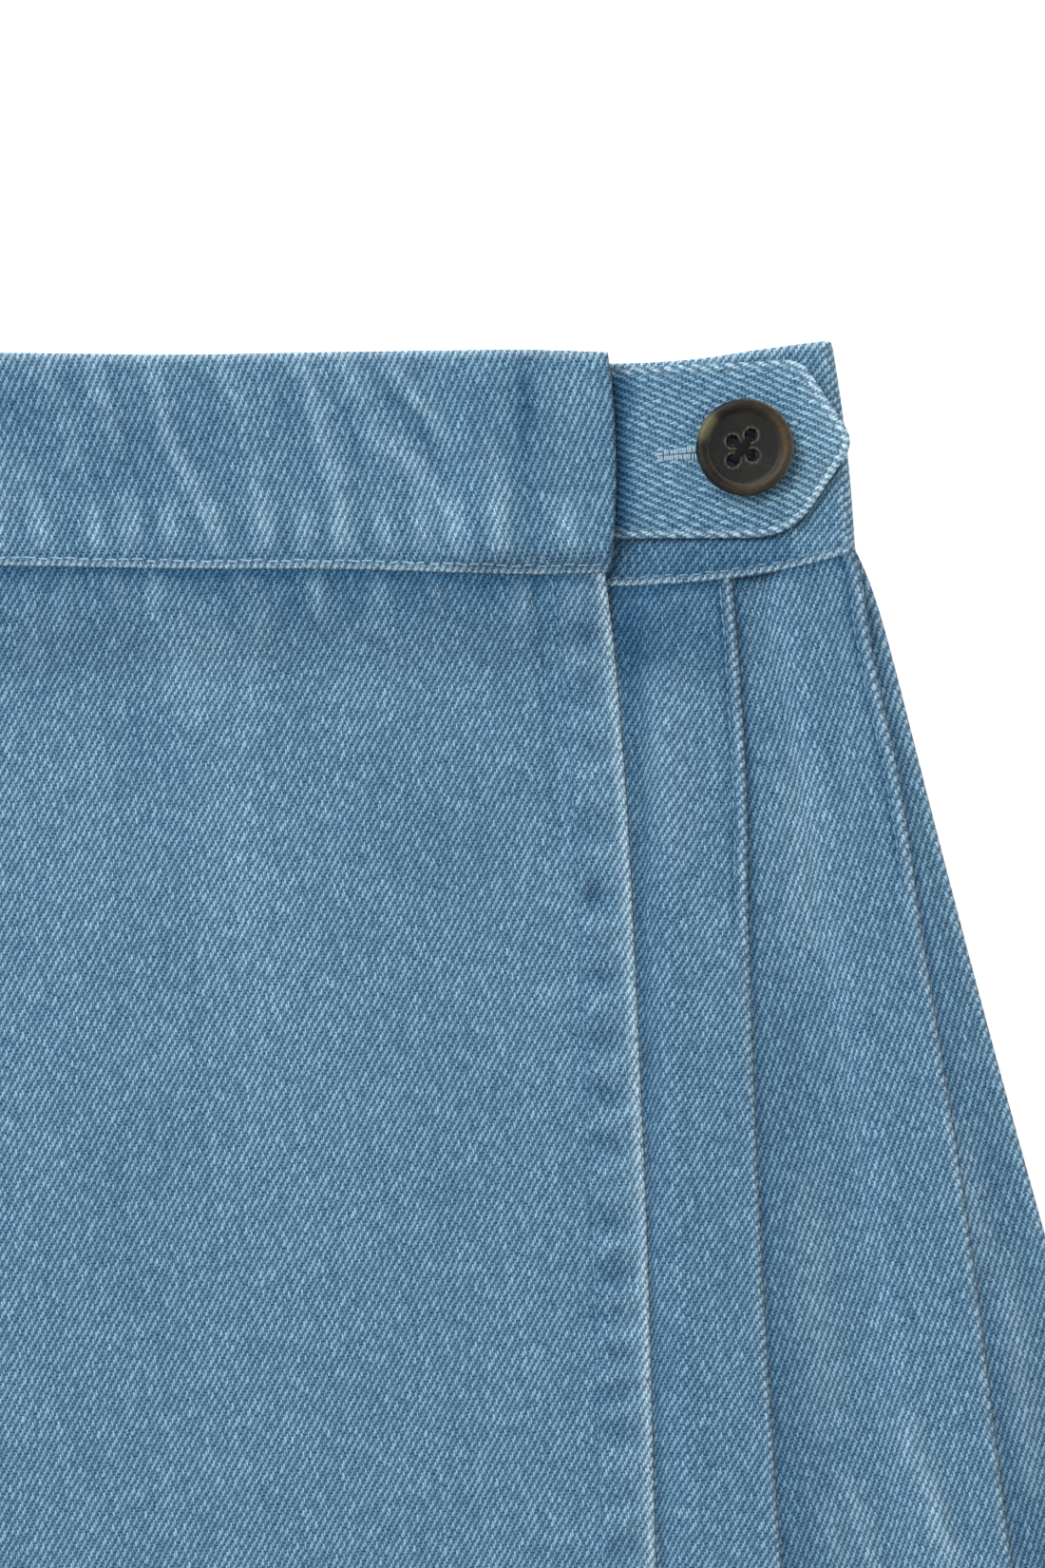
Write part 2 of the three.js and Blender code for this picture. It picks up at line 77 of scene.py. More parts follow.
FOLDS = {
    "down": (36, 41, 56, 82, 108, 165, 224, 312, 400),
    "wrap": (128.2, 128.6, 130.4, 132.5, 133.9, 136.4, 138.0, 140.5, 143.0),
    "first": (151.7, 152.1, 153.4, 154.9, 155.3, 157.5, 161.2, 168.0, 175.5),
    "second": (174.2, 175.9, 178.2, 183.6, 187.4, 196.3, 203.9, 217.0, 230.5),
}
FRONT_BAND = {
    "across": (-170, -140, -90, 20, 50, 80, 114, 131),
    "top": (-2.1, -1.2, -0.2, 0.2, 0.5, 0.0, -0.3, 0.2),
    "seam": (37.0, 38.9, 39.7, 39.9, 40.4, 40.5, 41.4, 41.2),
}
UNDER_BAND = {
    "across": (0, 130, 145, 158, 170, 176),
    "top": (2.1, 2.1, 1.3, -0.6, -2.1, -2.1),
    "seam": (43.6, 43.6, 42.8, 41.2, 38.6, 36.6),
}
BAND_END = {"across": 129.1, "swell": 1.5, "middle": 23.0, "round": 1.8}
TAB_LIFT = {"from": 96.0, "to": 107.0, "hold": 35.8, "out": 40.8}
PLEAT_LIFT = {"height": 1.2, "from": 133.0, "to": 141.0, "hold": 33.6, "out": 38.0}
STEP = {"start": 0.4, "width": 9.0}
BUTTON = {"across": 154.4, "down": 17.8, "radius": 9.0}

# The twill: colours as shown from 0 to 255 (the recess darkened with painted shade as well as indigo, the
# paled tone also used for painted light), how the wash and painted shade tint them, and how its floats lie
DENIM_TONES = {
    "recess": (9, 45, 73),
    "float": (126, 161, 181),
    "weft": (62, 106, 136),
    "paled": (186, 210, 222),
}
WASH_AND_SHADE_SHARES = (1.25, 0.95, 0.74)
DEEPEST_WASH_AND_SHADE = -0.6
REPEAT_PICKS = 3.0
FLOAT = {"picks": 1.95, "longer": 0.6, "lean": 0.32, "shift": 0.3, "round": 0.6, "crown": 0.66, "edge": 0.34}
WEFT = {"height": 0.34, "round": 0.8, "shade": 0.95}
SLUB = {"rare": 14.0, "bright": 0.8}

# Noise as (size, scale, detail, roughness): how threads stray, and how the wash varies
END_STRAYS = ((1.5, 9.0, 4.0, 0.72), (1.1, 95.0, 2.0, 0.6))
PICK_STRAYS = ((1.6, 13.0, 4.0, 0.72), (1.3, 80.0, 2.0, 0.6))
WASH_STREAKS = (0.34, 0.55, 2.0, 0.5)
WASH_CLOUDS = (0.30, 3.2, 4.0, 0.62)
WASH_FLECKS = (0.50, 22.0, 3.0, 0.7)
MAP_THREADS = 100.0

# Sewing threads, each lit and shaded, and the button's horn
THREAD_TONES = {
    "pale_thread": ((150, 176, 192), (66, 98, 126)),
    "band_thread": ((150, 180, 198), (84, 120, 148)),
    "tonal_thread": ((104, 139, 162), (46, 80, 108)),
    "dark_thread": ((20, 22, 24), (6, 7, 9)),
}
HORN_TONES = {"base": (20, 21, 20), "brown": (66, 54, 36), "khaki": (80, 76, 54), "rim": (118, 108, 92)}

# The photographed part of the skirt: a close-up framed in pixels of the photograph
PHOTO = {"wide": 1100, "tall": 1650, "per_mm": 5.67, "side_px": 900, "top_px": 371}
SHOWN_LEFT = WAIST_ACROSS - PHOTO["side_px"] / PHOTO["per_mm"]
SHOWN_WIDE = PHOTO["wide"] / PHOTO["per_mm"]
SHOWN_TOP = -PHOTO["top_px"] / PHOTO["per_mm"]
SHOWN_TALL = PHOTO["tall"] / PHOTO["per_mm"]


def photo_across(px):
    return WAIST_ACROSS + (px - PHOTO["side_px"]) / PHOTO["per_mm"]


def photo_down(px):
    return (px - PHOTO["top_px"]) / PHOTO["per_mm"]


def curve(table, key, name):
    """A smooth curve through a table's column, held level past its ends."""
    x = np.array(table[key], float)
    y = np.array(table[name], float)
    slope = np.empty_like(y)
    slope[1:-1] = (y[2:] - y[:-2]) / (x[2:] - x[:-2])
    slope[0] = (y[1] - y[0]) / (x[1] - x[0])
    slope[-1] = (y[-1] - y[-2]) / (x[-1] - x[-2])

    def value_at(place):
        place = np.clip(place, x[0], x[-1])
        n = np.clip(np.searchsorted(x, place) - 1, 0, len(x) - 2)
        step = x[n + 1] - x[n]
        t = (place - x[n]) / step
        start = (1 + 2 * t) * (1 - t) ** 2 * y[n] + t * (1 - t) ** 2 * step * slope[n]
        rest = t * t * (3 - 2 * t) * y[n + 1] + t * t * (t - 1) * step * slope[n + 1]
        return start + rest

    return value_at


wrap_edge = curve(FOLDS, "down", "wrap")
first_fold = curve(FOLDS, "down", "first")
second_fold = curve(FOLDS, "down", "second")
front_top = curve(FRONT_BAND, "across", "top")
front_seam = curve(FRONT_BAND, "across", "seam")
under_top = curve(UNDER_BAND, "across", "top")
under_seam = curve(UNDER_BAND, "across", "seam")


def back_top(across):
    return under_top(np.abs(across)) + BACK_TOP_DROP


def back_seam(across):
    return under_seam(np.abs(across))


def up(down):
    """Y of a place that far down."""
    return (LENGTH - CORNER_RISE) / 2 - down


def hem(across):
    return LENGTH - HEM_CURVE * across * across


def growth(down):
    return (np.clip(down, 0, LENGTH) / LENGTH) ** 2


def soft(value, low, high):
    t = np.clip((value - low) / (high - low), 0, 1)
    return t * t * (3 - 2 * t)


def bell(away, width):
    """1 at no distance away, falling softly to nothing at about two widths."""
    return np.exp(-(away / width) ** 2)


def lerp(a, b, share):
    return a + (b - a) * share


def side(down):
    share = (down + CORNER_RISE) / (WAIST_DOWN + CORNER_RISE)
    waist = lerp(CORNER_ACROSS, WAIST_ACROSS, share) + WAIST_SWELL * np.sin(math.pi * np.clip(share, 0, 1))
    below = np.maximum(down - WAIST_DOWN, 0)
    swell = HIP_SWELL * (1 - np.exp(-below / HIP_REACH))
    hip = WAIST_ACROSS + SIDE_FLARE * below + SIDE_CURVE * below * below + swell
    return np.where(down < WAIST_DOWN, waist, hip)


# Rows: how far down each row of a wall lies, finer where the photograph looks

FINE_ROW = 1.25
COARSE_ROW = 5.0
FINE_BAND_ROWS = 44
PLAIN_BAND_ROWS = 10
TURN_ROWS = (0.8, 1.7, TURN_STEP)
HEM_ROWS = (11, 8, 5, 3, 1.6)
EDGE_ROUND = 0.8
EDGE_ROWS = 4
EDGE_LEAST = 0.12
SHOWN_SHARE = 0.56


def edge_shares():
    """How far in from an edge, and how thick there, for a rounded edge."""
    inset = EDGE_ROUND * (1 - np.cos(np.linspace(0, math.pi / 2, EDGE_ROWS + 1)[:-1]))
    full = np.sqrt(1 - (1 - inset / EDGE_ROUND) ** 2)
    return inset, np.maximum(full, EDGE_LEAST)


def panel_rows(fine):
    """A panel's rows as (kind, value, turned, edge)."""
    step = FINE_ROW if fine else COARSE_ROW
    rows = [("below", value, 0, 1) for value in np.arange(0, SEAM_REACH, step)]
    span = LENGTH - WAIST_DOWN - SEAM_REACH - HEM_TURN
    near = np.linspace(0, SHOWN_SHARE, int(SHOWN_SHARE * span / step))
    far = np.linspace(SHOWN_SHARE, 1, int((1 - SHOWN_SHARE) * span / COARSE_ROW))[1:]
    rows += [("share", value, 0, 1) for value in (*near, *far)]
    last = HEM_TURN + TURN_STEP / 2
    rows += [("above", last - value, value / TURN_STEP, 1) for value in TURN_ROWS]
    rows += [("above", value, 1, 1) for value in HEM_ROWS]
    inset, full = edge_shares()
    return rows + [("above", a, 1, b) for a, b in zip(inset[::-1], full[::-1])]


def band_rows(fine):
    """A waistband's rows, in the same form."""
    inset, full = edge_shares()
    shares = np.linspace(0, 1, (FINE_BAND_ROWS if fine else PLAIN_BAND_ROWS) + 1)[1:-1]
    rows = [("in", a, 0, b) for a, b in zip(inset, full)]
    rows += [("part", value, 0, 1) for value in shares]
    return rows + [("out", a, 0, b) for a, b in zip(inset[::-1], full[::-1])]


def row_downs(rows, across, top, seam):
    """How far down each row is at a place across; a panel's top is tucked into its waistband."""
    kinds = np.array([row[0] for row in rows])
    values = np.array([row[1] for row in rows], float)
    start = seam(across) - SEAM_TUCK
    last = hem(across) - HEM_TURN - TURN_STEP / 2
    tall = seam(across) - top(across)
    choices = {
        "below": start + values,
        "share": lerp(start + SEAM_REACH, last, values),
        "above": hem(across) - values,
        "in": top(across) + values,
        "part": top(across) + EDGE_ROUND + values * (tall - 2 * EDGE_ROUND),
        "out": seam(across) - values,
    }
    return np.select([kinds == kind for kind in choices], list(choices.values()))


# Places on a wall are functions of (down, thick), and heights of (across, down, thick, stack)

def fixed(value):
    return lambda _down, _thick: value


def minus(place, offset):
    return lambda down, thick: place(down, thick) - offset


def between(start, finish_at, share):
    return lambda down, thick: lerp(start(down, thick), finish_at(down, thick), share)


def along(edge, sign=1):
    return lambda down, _thick: sign * edge(down)


def layer(under):
    """Height of the middle of a layer that lies on some others."""
    return lambda _across, _down, thick, stack: under * (stack + GAP) + thick / 2


def floor_layer(_across, _down, thick, _stack):
    return thick / 2


def band_middle(under):
    return under * (BAND + GAP) + BAND / 2


def seam_fade(across, down):
    seam = under_seam(np.abs(across))
    return 1 - soft(down, seam + 3, seam + SEAM_REACH)


# Stations: where a wall's columns run across, and how high the middle of the cloth is there

def at(place, high, **extra):
    return {"place": place, "high": high, **extra}


def spread(count, start, finish_at, high, **extra):
    return [at(between(start, finish_at, share), high, **extra) for share in np.linspace(0, 1, count)]


def at_edge(edge, high_from, high_to, down, thick):
    """Where an outer edge is, and the two heights that the cloth turns between."""
    across = edge(down, thick)
    return across, high_from(across, down, thick, thick), high_to(across, down, thick, thick)


def bend(count, sign, edge, high_from, high_to, **extra):
    """A half turn round an outer edge from one height to another."""
    def turned_by(angle):
        def place(down, thick):
            across, top, low = at_edge(edge, high_from, high_to, down, thick)
            radius = np.abs(top - low) / 2
            return across - sign * (radius + thick / 2) + sign * radius * math.sin(angle)

        def high(_across, down, thick, _stack):
            _, top, low = at_edge(edge, high_from, high_to, down, thick)
            return (top + low) / 2 + (top - low) / 2 * math.cos(angle)
        return at(place, high, **extra)

    return [turned_by(angle) for angle in np.linspace(0, math.pi, count)]


def bend_start(sign, edge, high_from, high_to):
    """Where the flat part before a half turn ends."""
    def place(down, thick):
        across, top, low = at_edge(edge, high_from, high_to, down, thick)
        return across - sign * (np.abs(top - low) / 2 + thick / 2)
    return place


PLACE_PASSES = 8


def lay_out(rows, stations, thick, top, seam):
    """Middle points, thicknesses and places of a wall's grid, as rows by stations."""
    turned = np.array([row[2] for row in rows], float)
    edges = np.array([row[3] for row in rows], float)
    middle = np.empty((len(rows), len(stations), 3))
    thicks = np.empty((len(rows), len(stations)))
    for n, station in enumerate(stations):
        stack = thick + TURN_THICK * turned
        whole = thick + TURN_THICK * np.maximum(turned, station.get("turn", 0))
        across = np.zeros(len(rows))
        for _ in range(PLACE_PASSES):
            down = row_downs(rows, across, top, seam)
            across = station["place"](down, whole) + np.zeros(len(rows))
        middle[:, n, 0] = across
        middle[:, n, 1] = up(down)
        middle[:, n, 2] = station["high"](across, down, whole, stack)
        thicks[:, n] = whole * np.minimum(edges, station.get("edge", 1))
    return middle, thicks


def way_across(middle):
    """1 where a grid's stations run to the right, -1 where they run to the left."""
    return np.sign(middle[0, -1, 0] - middle[0, 0, 0])


def grid_normals(middle):
    """Unit normals of a grid of points, up where the cloth lies face up."""
    fall = np.gradient(middle, axis=0)
    run = np.empty_like(middle)
    run[:, 1:-1] = middle[:, 2:] - middle[:, :-2]
    run[:, 0] = middle[:, 1] - middle[:, 0]
    run[:, -1] = middle[:, -1] - middle[:, -2]
    normal = np.cross(run, -fall) * way_across(middle)
    return normal / np.linalg.norm(normal, axis=2, keepdims=True)


# How the threads of the cloth run: spacing in mm and turn in degrees of its warp and its weft

GRAINS = {
    "front": {"warp": (0.427, 6.9), "weft": (0.596, 5.3)},
    "band": {"warp": (0.415, 13.5), "weft": (0.615, 2.0)},
    "under": {"warp": (0.432, 6.6), "weft": (0.590, 4.1)},
    "pleat": {"warp": (0.455, 17.3), "weft": (0.598, 15.8)},
    "side": {"warp": (0.439, 24.0), "weft": (0.590, 17.5)},
    "under_band": {"warp": (0.450, 1.0), "weft": (0.605, 0.0)},
    "tab": {"warp": (0.489, 105.4), "weft": (0.670, 96.4)},
    "back": {"warp": (0.430, 0.0), "weft": (0.600, 0.0)},
}


def thread_places(run, rise_up, grain):
    """Counts of warp ends and weft picks at places on flat cloth."""
    warp, weft = GRAINS[grain]["warp"], GRAINS[grain]["weft"]
    a, b = math.radians(warp[1]), math.radians(weft[1])
    ends = (run * math.cos(a) + rise_up * math.sin(a)) / warp[0]
    picks = (run * math.sin(b) - rise_up * math.cos(b)) / weft[0]
    return ends, picks


def grid_threads(middle, stations, grain):
    """Thread counts over a grid, measured round its folds along each row."""
    steps = np.linalg.norm(np.diff(middle, axis=1), axis=2)
    steps *= way_across(middle)
    turn = np.concatenate([np.zeros((len(middle), 1)), np.cumsum(steps, axis=1)], axis=1)
    ends = np.empty(middle.shape[:2])
    picks = np.empty(middle.shape[:2])
    for n, station in enumerate(stations):
        run = middle[:, 0, 0] + turn[:, n]
        ends[:, n], picks[:, n] = thread_places(run, middle[:, n, 1], station.get("grain", grain))
    return ends, picks


def mesh_object(name, points, faces, body="root"):
    """A smooth-shaded mesh object from points in mm, riding on a body."""
    mesh = bpy.data.meshes.new(name)
    mesh.vertices.add(len(points))
    mesh.vertices.foreach_set("co", (np.asarray(points) * MM).astype(np.float32).ravel())
    sizes = np.array([len(face) for face in faces])
    mesh.loops.add(int(sizes.sum()))
    mesh.loops.foreach_set("vertex_index", np.concatenate([np.asarray(f) for f in faces]))
    mesh.polygons.add(len(faces))
    mesh.polygons.foreach_set("loop_start", np.concatenate([[0], np.cumsum(sizes)[:-1]]))
    mesh.polygons.foreach_set("loop_total", sizes)
    mesh.polygons.foreach_set("use_smooth", np.ones(len(faces), bool))
    mesh.update(calc_edges=True)
    mesh.validate()
    made = bpy.data.objects.new(name, mesh)
    bpy.context.scene.collection.objects.link(made)
    if body:
        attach(made, body)
    return made


def grid_faces(tall, wide):
    """Faces of a closed shell: an outer grid, an inner grid and the strips that join them."""
    n = np.arange(tall * wide).reshape(tall, wide)
    inner = n + tall * wide

    def strips(a, b, c, d):
        return np.stack([a, b, c, d], axis=-1).reshape(-1, 4)

    return np.concatenate([
        strips(n[:-1, :-1], n[1:, :-1], n[1:, 1:], n[:-1, 1:]),
        strips(inner[:-1, :-1], inner[:-1, 1:], inner[1:, 1:], inner[1:, :-1]),
        strips(inner[:-1, 0], inner[1:, 0], n[1:, 0], n[:-1, 0]),
        strips(n[:-1, -1], n[1:, -1], inner[1:, -1], inner[:-1, -1]),
        strips(n[0, :-1], n[0, 1:], inner[0, 1:], inner[0, :-1]),
        strips(inner[-1, :-1], inner[-1, 1:], n[-1, 1:], n[-1, :-1]),
    ])


def add_values(made, name, values):
    layer_made = made.data.attributes.new(name, "FLOAT", "POINT")
    layer_made.data.foreach_set("value", np.asarray(values, np.float32).ravel())


def add_threads(made, ends, picks):
    """Thread counts as a UV map, MAP_THREADS to the unit."""
    uv = made.data.uv_layers.new(name="Threads")
    corners = np.empty(len(made.data.loops), int)
    made.data.loops.foreach_get("vertex_index", corners)
    both = np.stack([np.ravel(ends), np.ravel(picks)], axis=1) / MAP_THREADS
    uv.data.foreach_set("uv", both[corners].astype(np.float32).ravel())


def finish(made, material, *nodes):
    """Gives a piece its material and hides the solids it stands for."""
    made.data.materials.append(material)
    if nodes:
        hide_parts(*nodes)


def nothing(across, _down, _normal=None):
    return np.zeros_like(across)


PLAIN = (nothing, nothing, nothing)


def cloth_piece(names, material, rows, stations, thick, edges, grain, looks=PLAIN):
    """A closed shell of cloth on its solid's form, with creases, wear, dye, painted shade and painted light
    in its outer face.
    """
    middle, thicks = lay_out(rows, stations, thick, *edges)
    normal = grid_normals(middle)
    across, down = middle[:, :, 0], up(0) - middle[:, :, 1]
    raised, paled, dark = (look(across, down, normal) for look in looks)
    outer = middle + normal * (thicks / 2 + raised)[:, :, None]
    inner = middle - normal * (thicks / 2)[:, :, None]
    faces = grid_faces(*thicks.shape)
    if way_across(middle) < 0:
        faces = faces[:, ::-1]
    made = mesh_object(names[0], np.concatenate([outer.reshape(-1, 3), inner.reshape(-1, 3)]), faces)
    add_threads(made, *(np.concatenate([count, count]) for count in grid_threads(middle, stations, grain)))
    add_values(made, "pale_share", np.concatenate([paled, paled * 0]))
    add_values(made, "dye_and_shade", np.concatenate([dark, dark * 0]))
    finish(made, material, names[1])
    return outer


# Materials: each is a graph of nodes, written as sums of named values

class Value:
    """A number in a material's graph: arithmetic with it adds Math nodes."""

    def __init__(self, graph, socket):
        self.graph = graph
        self.socket = socket

    def __add__(self, other):
        return self.graph.math("ADD", self, other)

    def __sub__(self, other):
        return self.graph.math("SUBTRACT", self, other)

    def __mul__(self, other):
        return self.graph.math("MULTIPLY", self, other)

    def __truediv__(self, other):
        return self.graph.math("DIVIDE", self, other)

    def __pow__(self, other):
        return self.graph.math("POWER", self, other)


class Graph:
    """Short calls for a material's nodes."""

    def __init__(self, name):
        self.material = bpy.data.materials.new(name)
        self.material.use_nodes = True
        self.tree = self.material.node_tree
        self.tree.nodes.clear()

    def add(self, kind, **settings):
        node = self.tree.nodes.new(kind)
        for key, value in settings.items():
            setattr(node, key, value)
        return node

    def fill(self, socket, value):
        if isinstance(value, Value):
            self.tree.links.new(value.socket, socket)
        else:
            socket.default_value = value

    def made(self, node, values, output=0):
        """A node's output, with its first inputs filled."""
        for socket, value in zip(node.inputs, values):
            self.fill(socket, value)
        return Value(self, node.outputs[output])

    def math(self, operation, *values):
        return self.made(self.add("ShaderNodeMath", operation=operation), values)

    def clamped(self, value):
        value.socket.node.use_clamp = True
        return value

    def hill(self, share):
        """0 at both ends of a share from 0 to 1, and 1 in its middle."""
        return self.math("SINE", share * math.pi)

    def scaled(self, colour, by):
        return self.made(self.add("ShaderNodeVectorMath", operation="MULTIPLY"), (colour, by))

    def mix(self, share, a, b):
        node = self.add("ShaderNodeMix", data_type="RGBA")
        self.fill(node.inputs["Factor"], share)
        self.fill(node.inputs[6], a)
        self.fill(node.inputs[7], b)
        return Value(self, node.outputs[2])

    def vector(self, *values):
        return self.made(self.add("ShaderNodeCombineXYZ"), values)

    def noise(self, place, scale, detail=2.0, rough=0.5):
        node = self.add("ShaderNodeTexNoise")
        self.fill(node.inputs["Vector"], place)
        node.inputs["Scale"].default_value = scale
        node.inputs["Detail"].default_value = detail
        node.inputs["Roughness"].default_value = rough
        return Value(self, node.outputs["Fac"])

    def stray(self, place, size, scale, detail, rough):
        """Noise round 0 that spans about a size."""
        return (self.noise(place, scale, detail, rough) - 0.5) * size

    def chance(self, *cell):
        """A random number from 0 to 1 for each cell."""
        node = self.add("ShaderNodeTexWhiteNoise", noise_dimensions="2D")
        self.fill(node.inputs["Vector"], self.vector(*cell))
        return Value(self, node.outputs["Value"])

    def value_of(self, name):
        return Value(self, self.add("ShaderNodeAttribute", attribute_name=name).outputs["Fac"])

    def threads(self):
        """Places in the Threads map, as a vector and two numbers."""
        split = self.add("ShaderNodeSeparateXYZ")
        self.fill(split.inputs[0], Value(self, self.add("ShaderNodeUVMap", uv_map="Threads").outputs[0]))
        ends, picks = (Value(self, output) for output in split.outputs[:2])
        return self.vector(ends, picks), ends, picks

    def surface(self, colour, height=None, strength=0.0, deep=0.0, **sockets):
        """The shader, with a bump that is so many mm deep."""
        shader = self.add("ShaderNodeBsdfPrincipled")
        self.fill(shader.inputs["Base Color"], colour)
        for name, value in sockets.items():
            self.fill(shader.inputs[name.replace("_", " ")], value)
        if height is not None:
            bump = self.add("ShaderNodeBump")
            bump.inputs["Strength"].default_value = strength
            bump.inputs["Distance"].default_value = deep * MM
            self.fill(bump.inputs["Height"], height)
            self.tree.links.new(bump.outputs[0], shader.inputs["Normal"])
        out = self.add("ShaderNodeOutputMaterial")
        self.tree.links.new(shader.outputs[0], out.inputs[0])
        return self.material


def linear(red, green, blue):
    """A colour from 0 to 255 as shown, in the renderer's linear values."""
    def one(value):
        share = value / 255
        return share / 12.92 if share <= 0.04045 else ((share + 0.055) / 1.055) ** 2.4
    return (one(red), one(green), one(blue), 1.0)


def twill(g, ends, picks):
    """Height and colour of two-and-one twill: each warp float is a light dash between dark recesses, with
    painted light on the crowns of floats and picks and painted shade in the recesses.
    """
    end = g.math("FLOOR", ends)
    turns = (picks + end) / REPEAT_PICKS
    cell = g.math("FLOOR", turns)
    luck = g.chance(end, cell)
    other_luck = g.chance(cell, end + 0.37)

    passed = g.math("FRACT", turns) * REPEAT_PICKS
    along_float = g.math("MINIMUM", passed / (other_luck * FLOAT["longer"] + FLOAT["picks"]), 1.0)
    leaning = (along_float - 0.5) * FLOAT["lean"] + g.math("FRACT", ends)
    crown = g.hill(g.clamped((other_luck - 0.5) * FLOAT["shift"] + leaning))
    rounded = crown ** 0.8 * FLOAT["crown"] + FLOAT["edge"]
    float_high = g.clamped(g.hill(along_float) ** FLOAT["round"] * rounded)
    pick_side = g.hill(g.math("FRACT", picks))
    weft_high = pick_side ** WEFT["round"] * WEFT["height"]
    height = g.math("MAXIMUM", float_high, weft_high)

    slub = other_luck ** SLUB["rare"] * SLUB["bright"]
    lit = height ** 1.3 * (luck * 0.50 + 0.64 + slub)
    recess = linear(*DENIM_TONES["recess"])
    float_colour = g.mix(lit, recess, linear(*DENIM_TONES["float"]))
    weft_colour = g.mix(pick_side ** 1.5 * WEFT["shade"], recess, linear(*DENIM_TONES["weft"]))
    colour = g.mix(g.math("GREATER_THAN", weft_high, float_high), float_colour, weft_colour)
    return height, float_high, colour


def denim_material(name):
    """Washed twill, darker where a piece's dye and painted shade is above zero, and paler where it is worn or
    has painted light.
    """
    g = Graph(name)
    place, end_count, pick_count = g.threads()
    ends, picks = end_count * MAP_THREADS, pick_count * MAP_THREADS
    for end_stray, pick_stray in zip(END_STRAYS, PICK_STRAYS):
        ends += g.stray(place, *end_stray)
        picks += g.stray(place, *pick_stray)
    height, float_high, colour = twill(g, ends, picks)

    streaks = g.stray(g.vector(end_count * MAP_THREADS, pick_count * 1.6), *WASH_STREAKS)
    clouds = g.stray(place, *WASH_CLOUDS)
    flecks = g.stray(place, *WASH_FLECKS)
    wash_and_shade = g.math("MAXIMUM", streaks + clouds + flecks - g.value_of("dye_and_shade"), DEEPEST_WASH_AND_SHADE)
    washed_and_shaded = g.scaled(colour, g.vector(*(wash_and_shade * share + 1.0 for share in WASH_AND_SHADE_SHARES)))
    spots = g.clamped(g.noise(place, 48.0, 3.0, 0.7) * 4.0 - 1.1)
    paled = g.clamped(g.value_of("pale_share") * (spots * (float_high * 1.35 + 0.25)))
    final = g.mix(paled, washed_and_shaded, linear(*DENIM_TONES["paled"]))

    fuzzy = height + g.noise(place, 160.0, 2.0, 0.6) * 0.25
    return g.surface(
        final, fuzzy, 0.8, 0.16,
        Roughness=0.88, Specular_IOR_Level=0.15, Sheen_Weight=0.06, Sheen_Roughness=0.5,
    )


def thread_material(name, colour, dark):
    """Sewing thread: two plies twisted round each other, with painted shade between the plies."""
    g = Graph(name)
    _, along_it, around = g.threads()
    ply = g.math("ABSOLUTE", g.math("SINE", (along_it * 9.0 + around) * math.pi))
    mixed = g.mix(ply ** 0.6, linear(*dark), linear(*colour))
    return g.surface(mixed, ply, 0.7, 0.05, Roughness=0.85, Specular_IOR_Level=0.15)


def horn_material():
    """Dark imitation horn with brown and khaki clouds, fine specks, pale wear and painted highlights."""
    g = Graph("horn")
    place = Value(g, g.add("ShaderNodeTexCoord").outputs["Object"])
    tone = g.value_of("tone")
    cloud = g.noise(place, 210.0, 4.0, 0.6)
    fleck = g.noise(place, 1500.0, 2.0, 0.7)
    khaki_share = g.clamped(g.math("MAXIMUM", tone * -1.0, 0.0))
    brown_share = g.clamped((cloud - 0.5) * 0.9 + tone)
    colour = g.mix(brown_share, linear(*HORN_TONES["base"]), linear(*HORN_TONES["brown"]))
    colour = g.mix(khaki_share, colour, linear(*HORN_TONES["khaki"]))
    colour = g.mix(g.value_of("pale_share") * 0.75, colour, linear(*HORN_TONES["rim"]))
    speckle = fleck * 1.1 + 0.45
    speckled = g.scaled(colour, g.vector(speckle, speckle, speckle))
    return g.surface(speckled, fleck, 0.25, 0.04, Roughness=cloud * 0.2 + 0.40, Specular_IOR_Level=0.16)


# Creases, each a soft ridge (or a trough where its height is below zero) along a straight line

def waver(across, down):
    """A small wandering shift, so that no crease runs dead straight."""
    return 0.30 * np.sin(0.33 * down + 0.19 * across) + 0.12 * np.sin(0.71 * down - 0.31 * across + 1.0)


def blotch(across, down):
    """Where creases swell and fade along their length."""
    return 0.95 + 0.22 * np.sin(0.83 * down + 0.37 * across) * np.sin(0.29 * down - 0.61 * across + 2.0)


def crease_field(creases):
    """Sum of soft ridges: each has ends, height and width, in mm."""
    def relief(across, down):
        total = np.zeros_like(across)
        across = across + waver(across, down)
        for x0, v0, x1, v1, height, width in creases:
            dx, dv = x1 - x0, v1 - v0
            long = math.hypot(dx, dv)
            share = ((across - x0) * dx + (down - v0) * dv) / long ** 2
            near = np.clip(share, 0, 1)
            off_line = np.hypot(across - x0 - near * dx, down - v0 - near * dv)
            total += height * bell(off_line, width) * np.clip(1.15 - np.abs(share - 0.5), 0, 1)
        return total * blotch(across, down)
    return relief


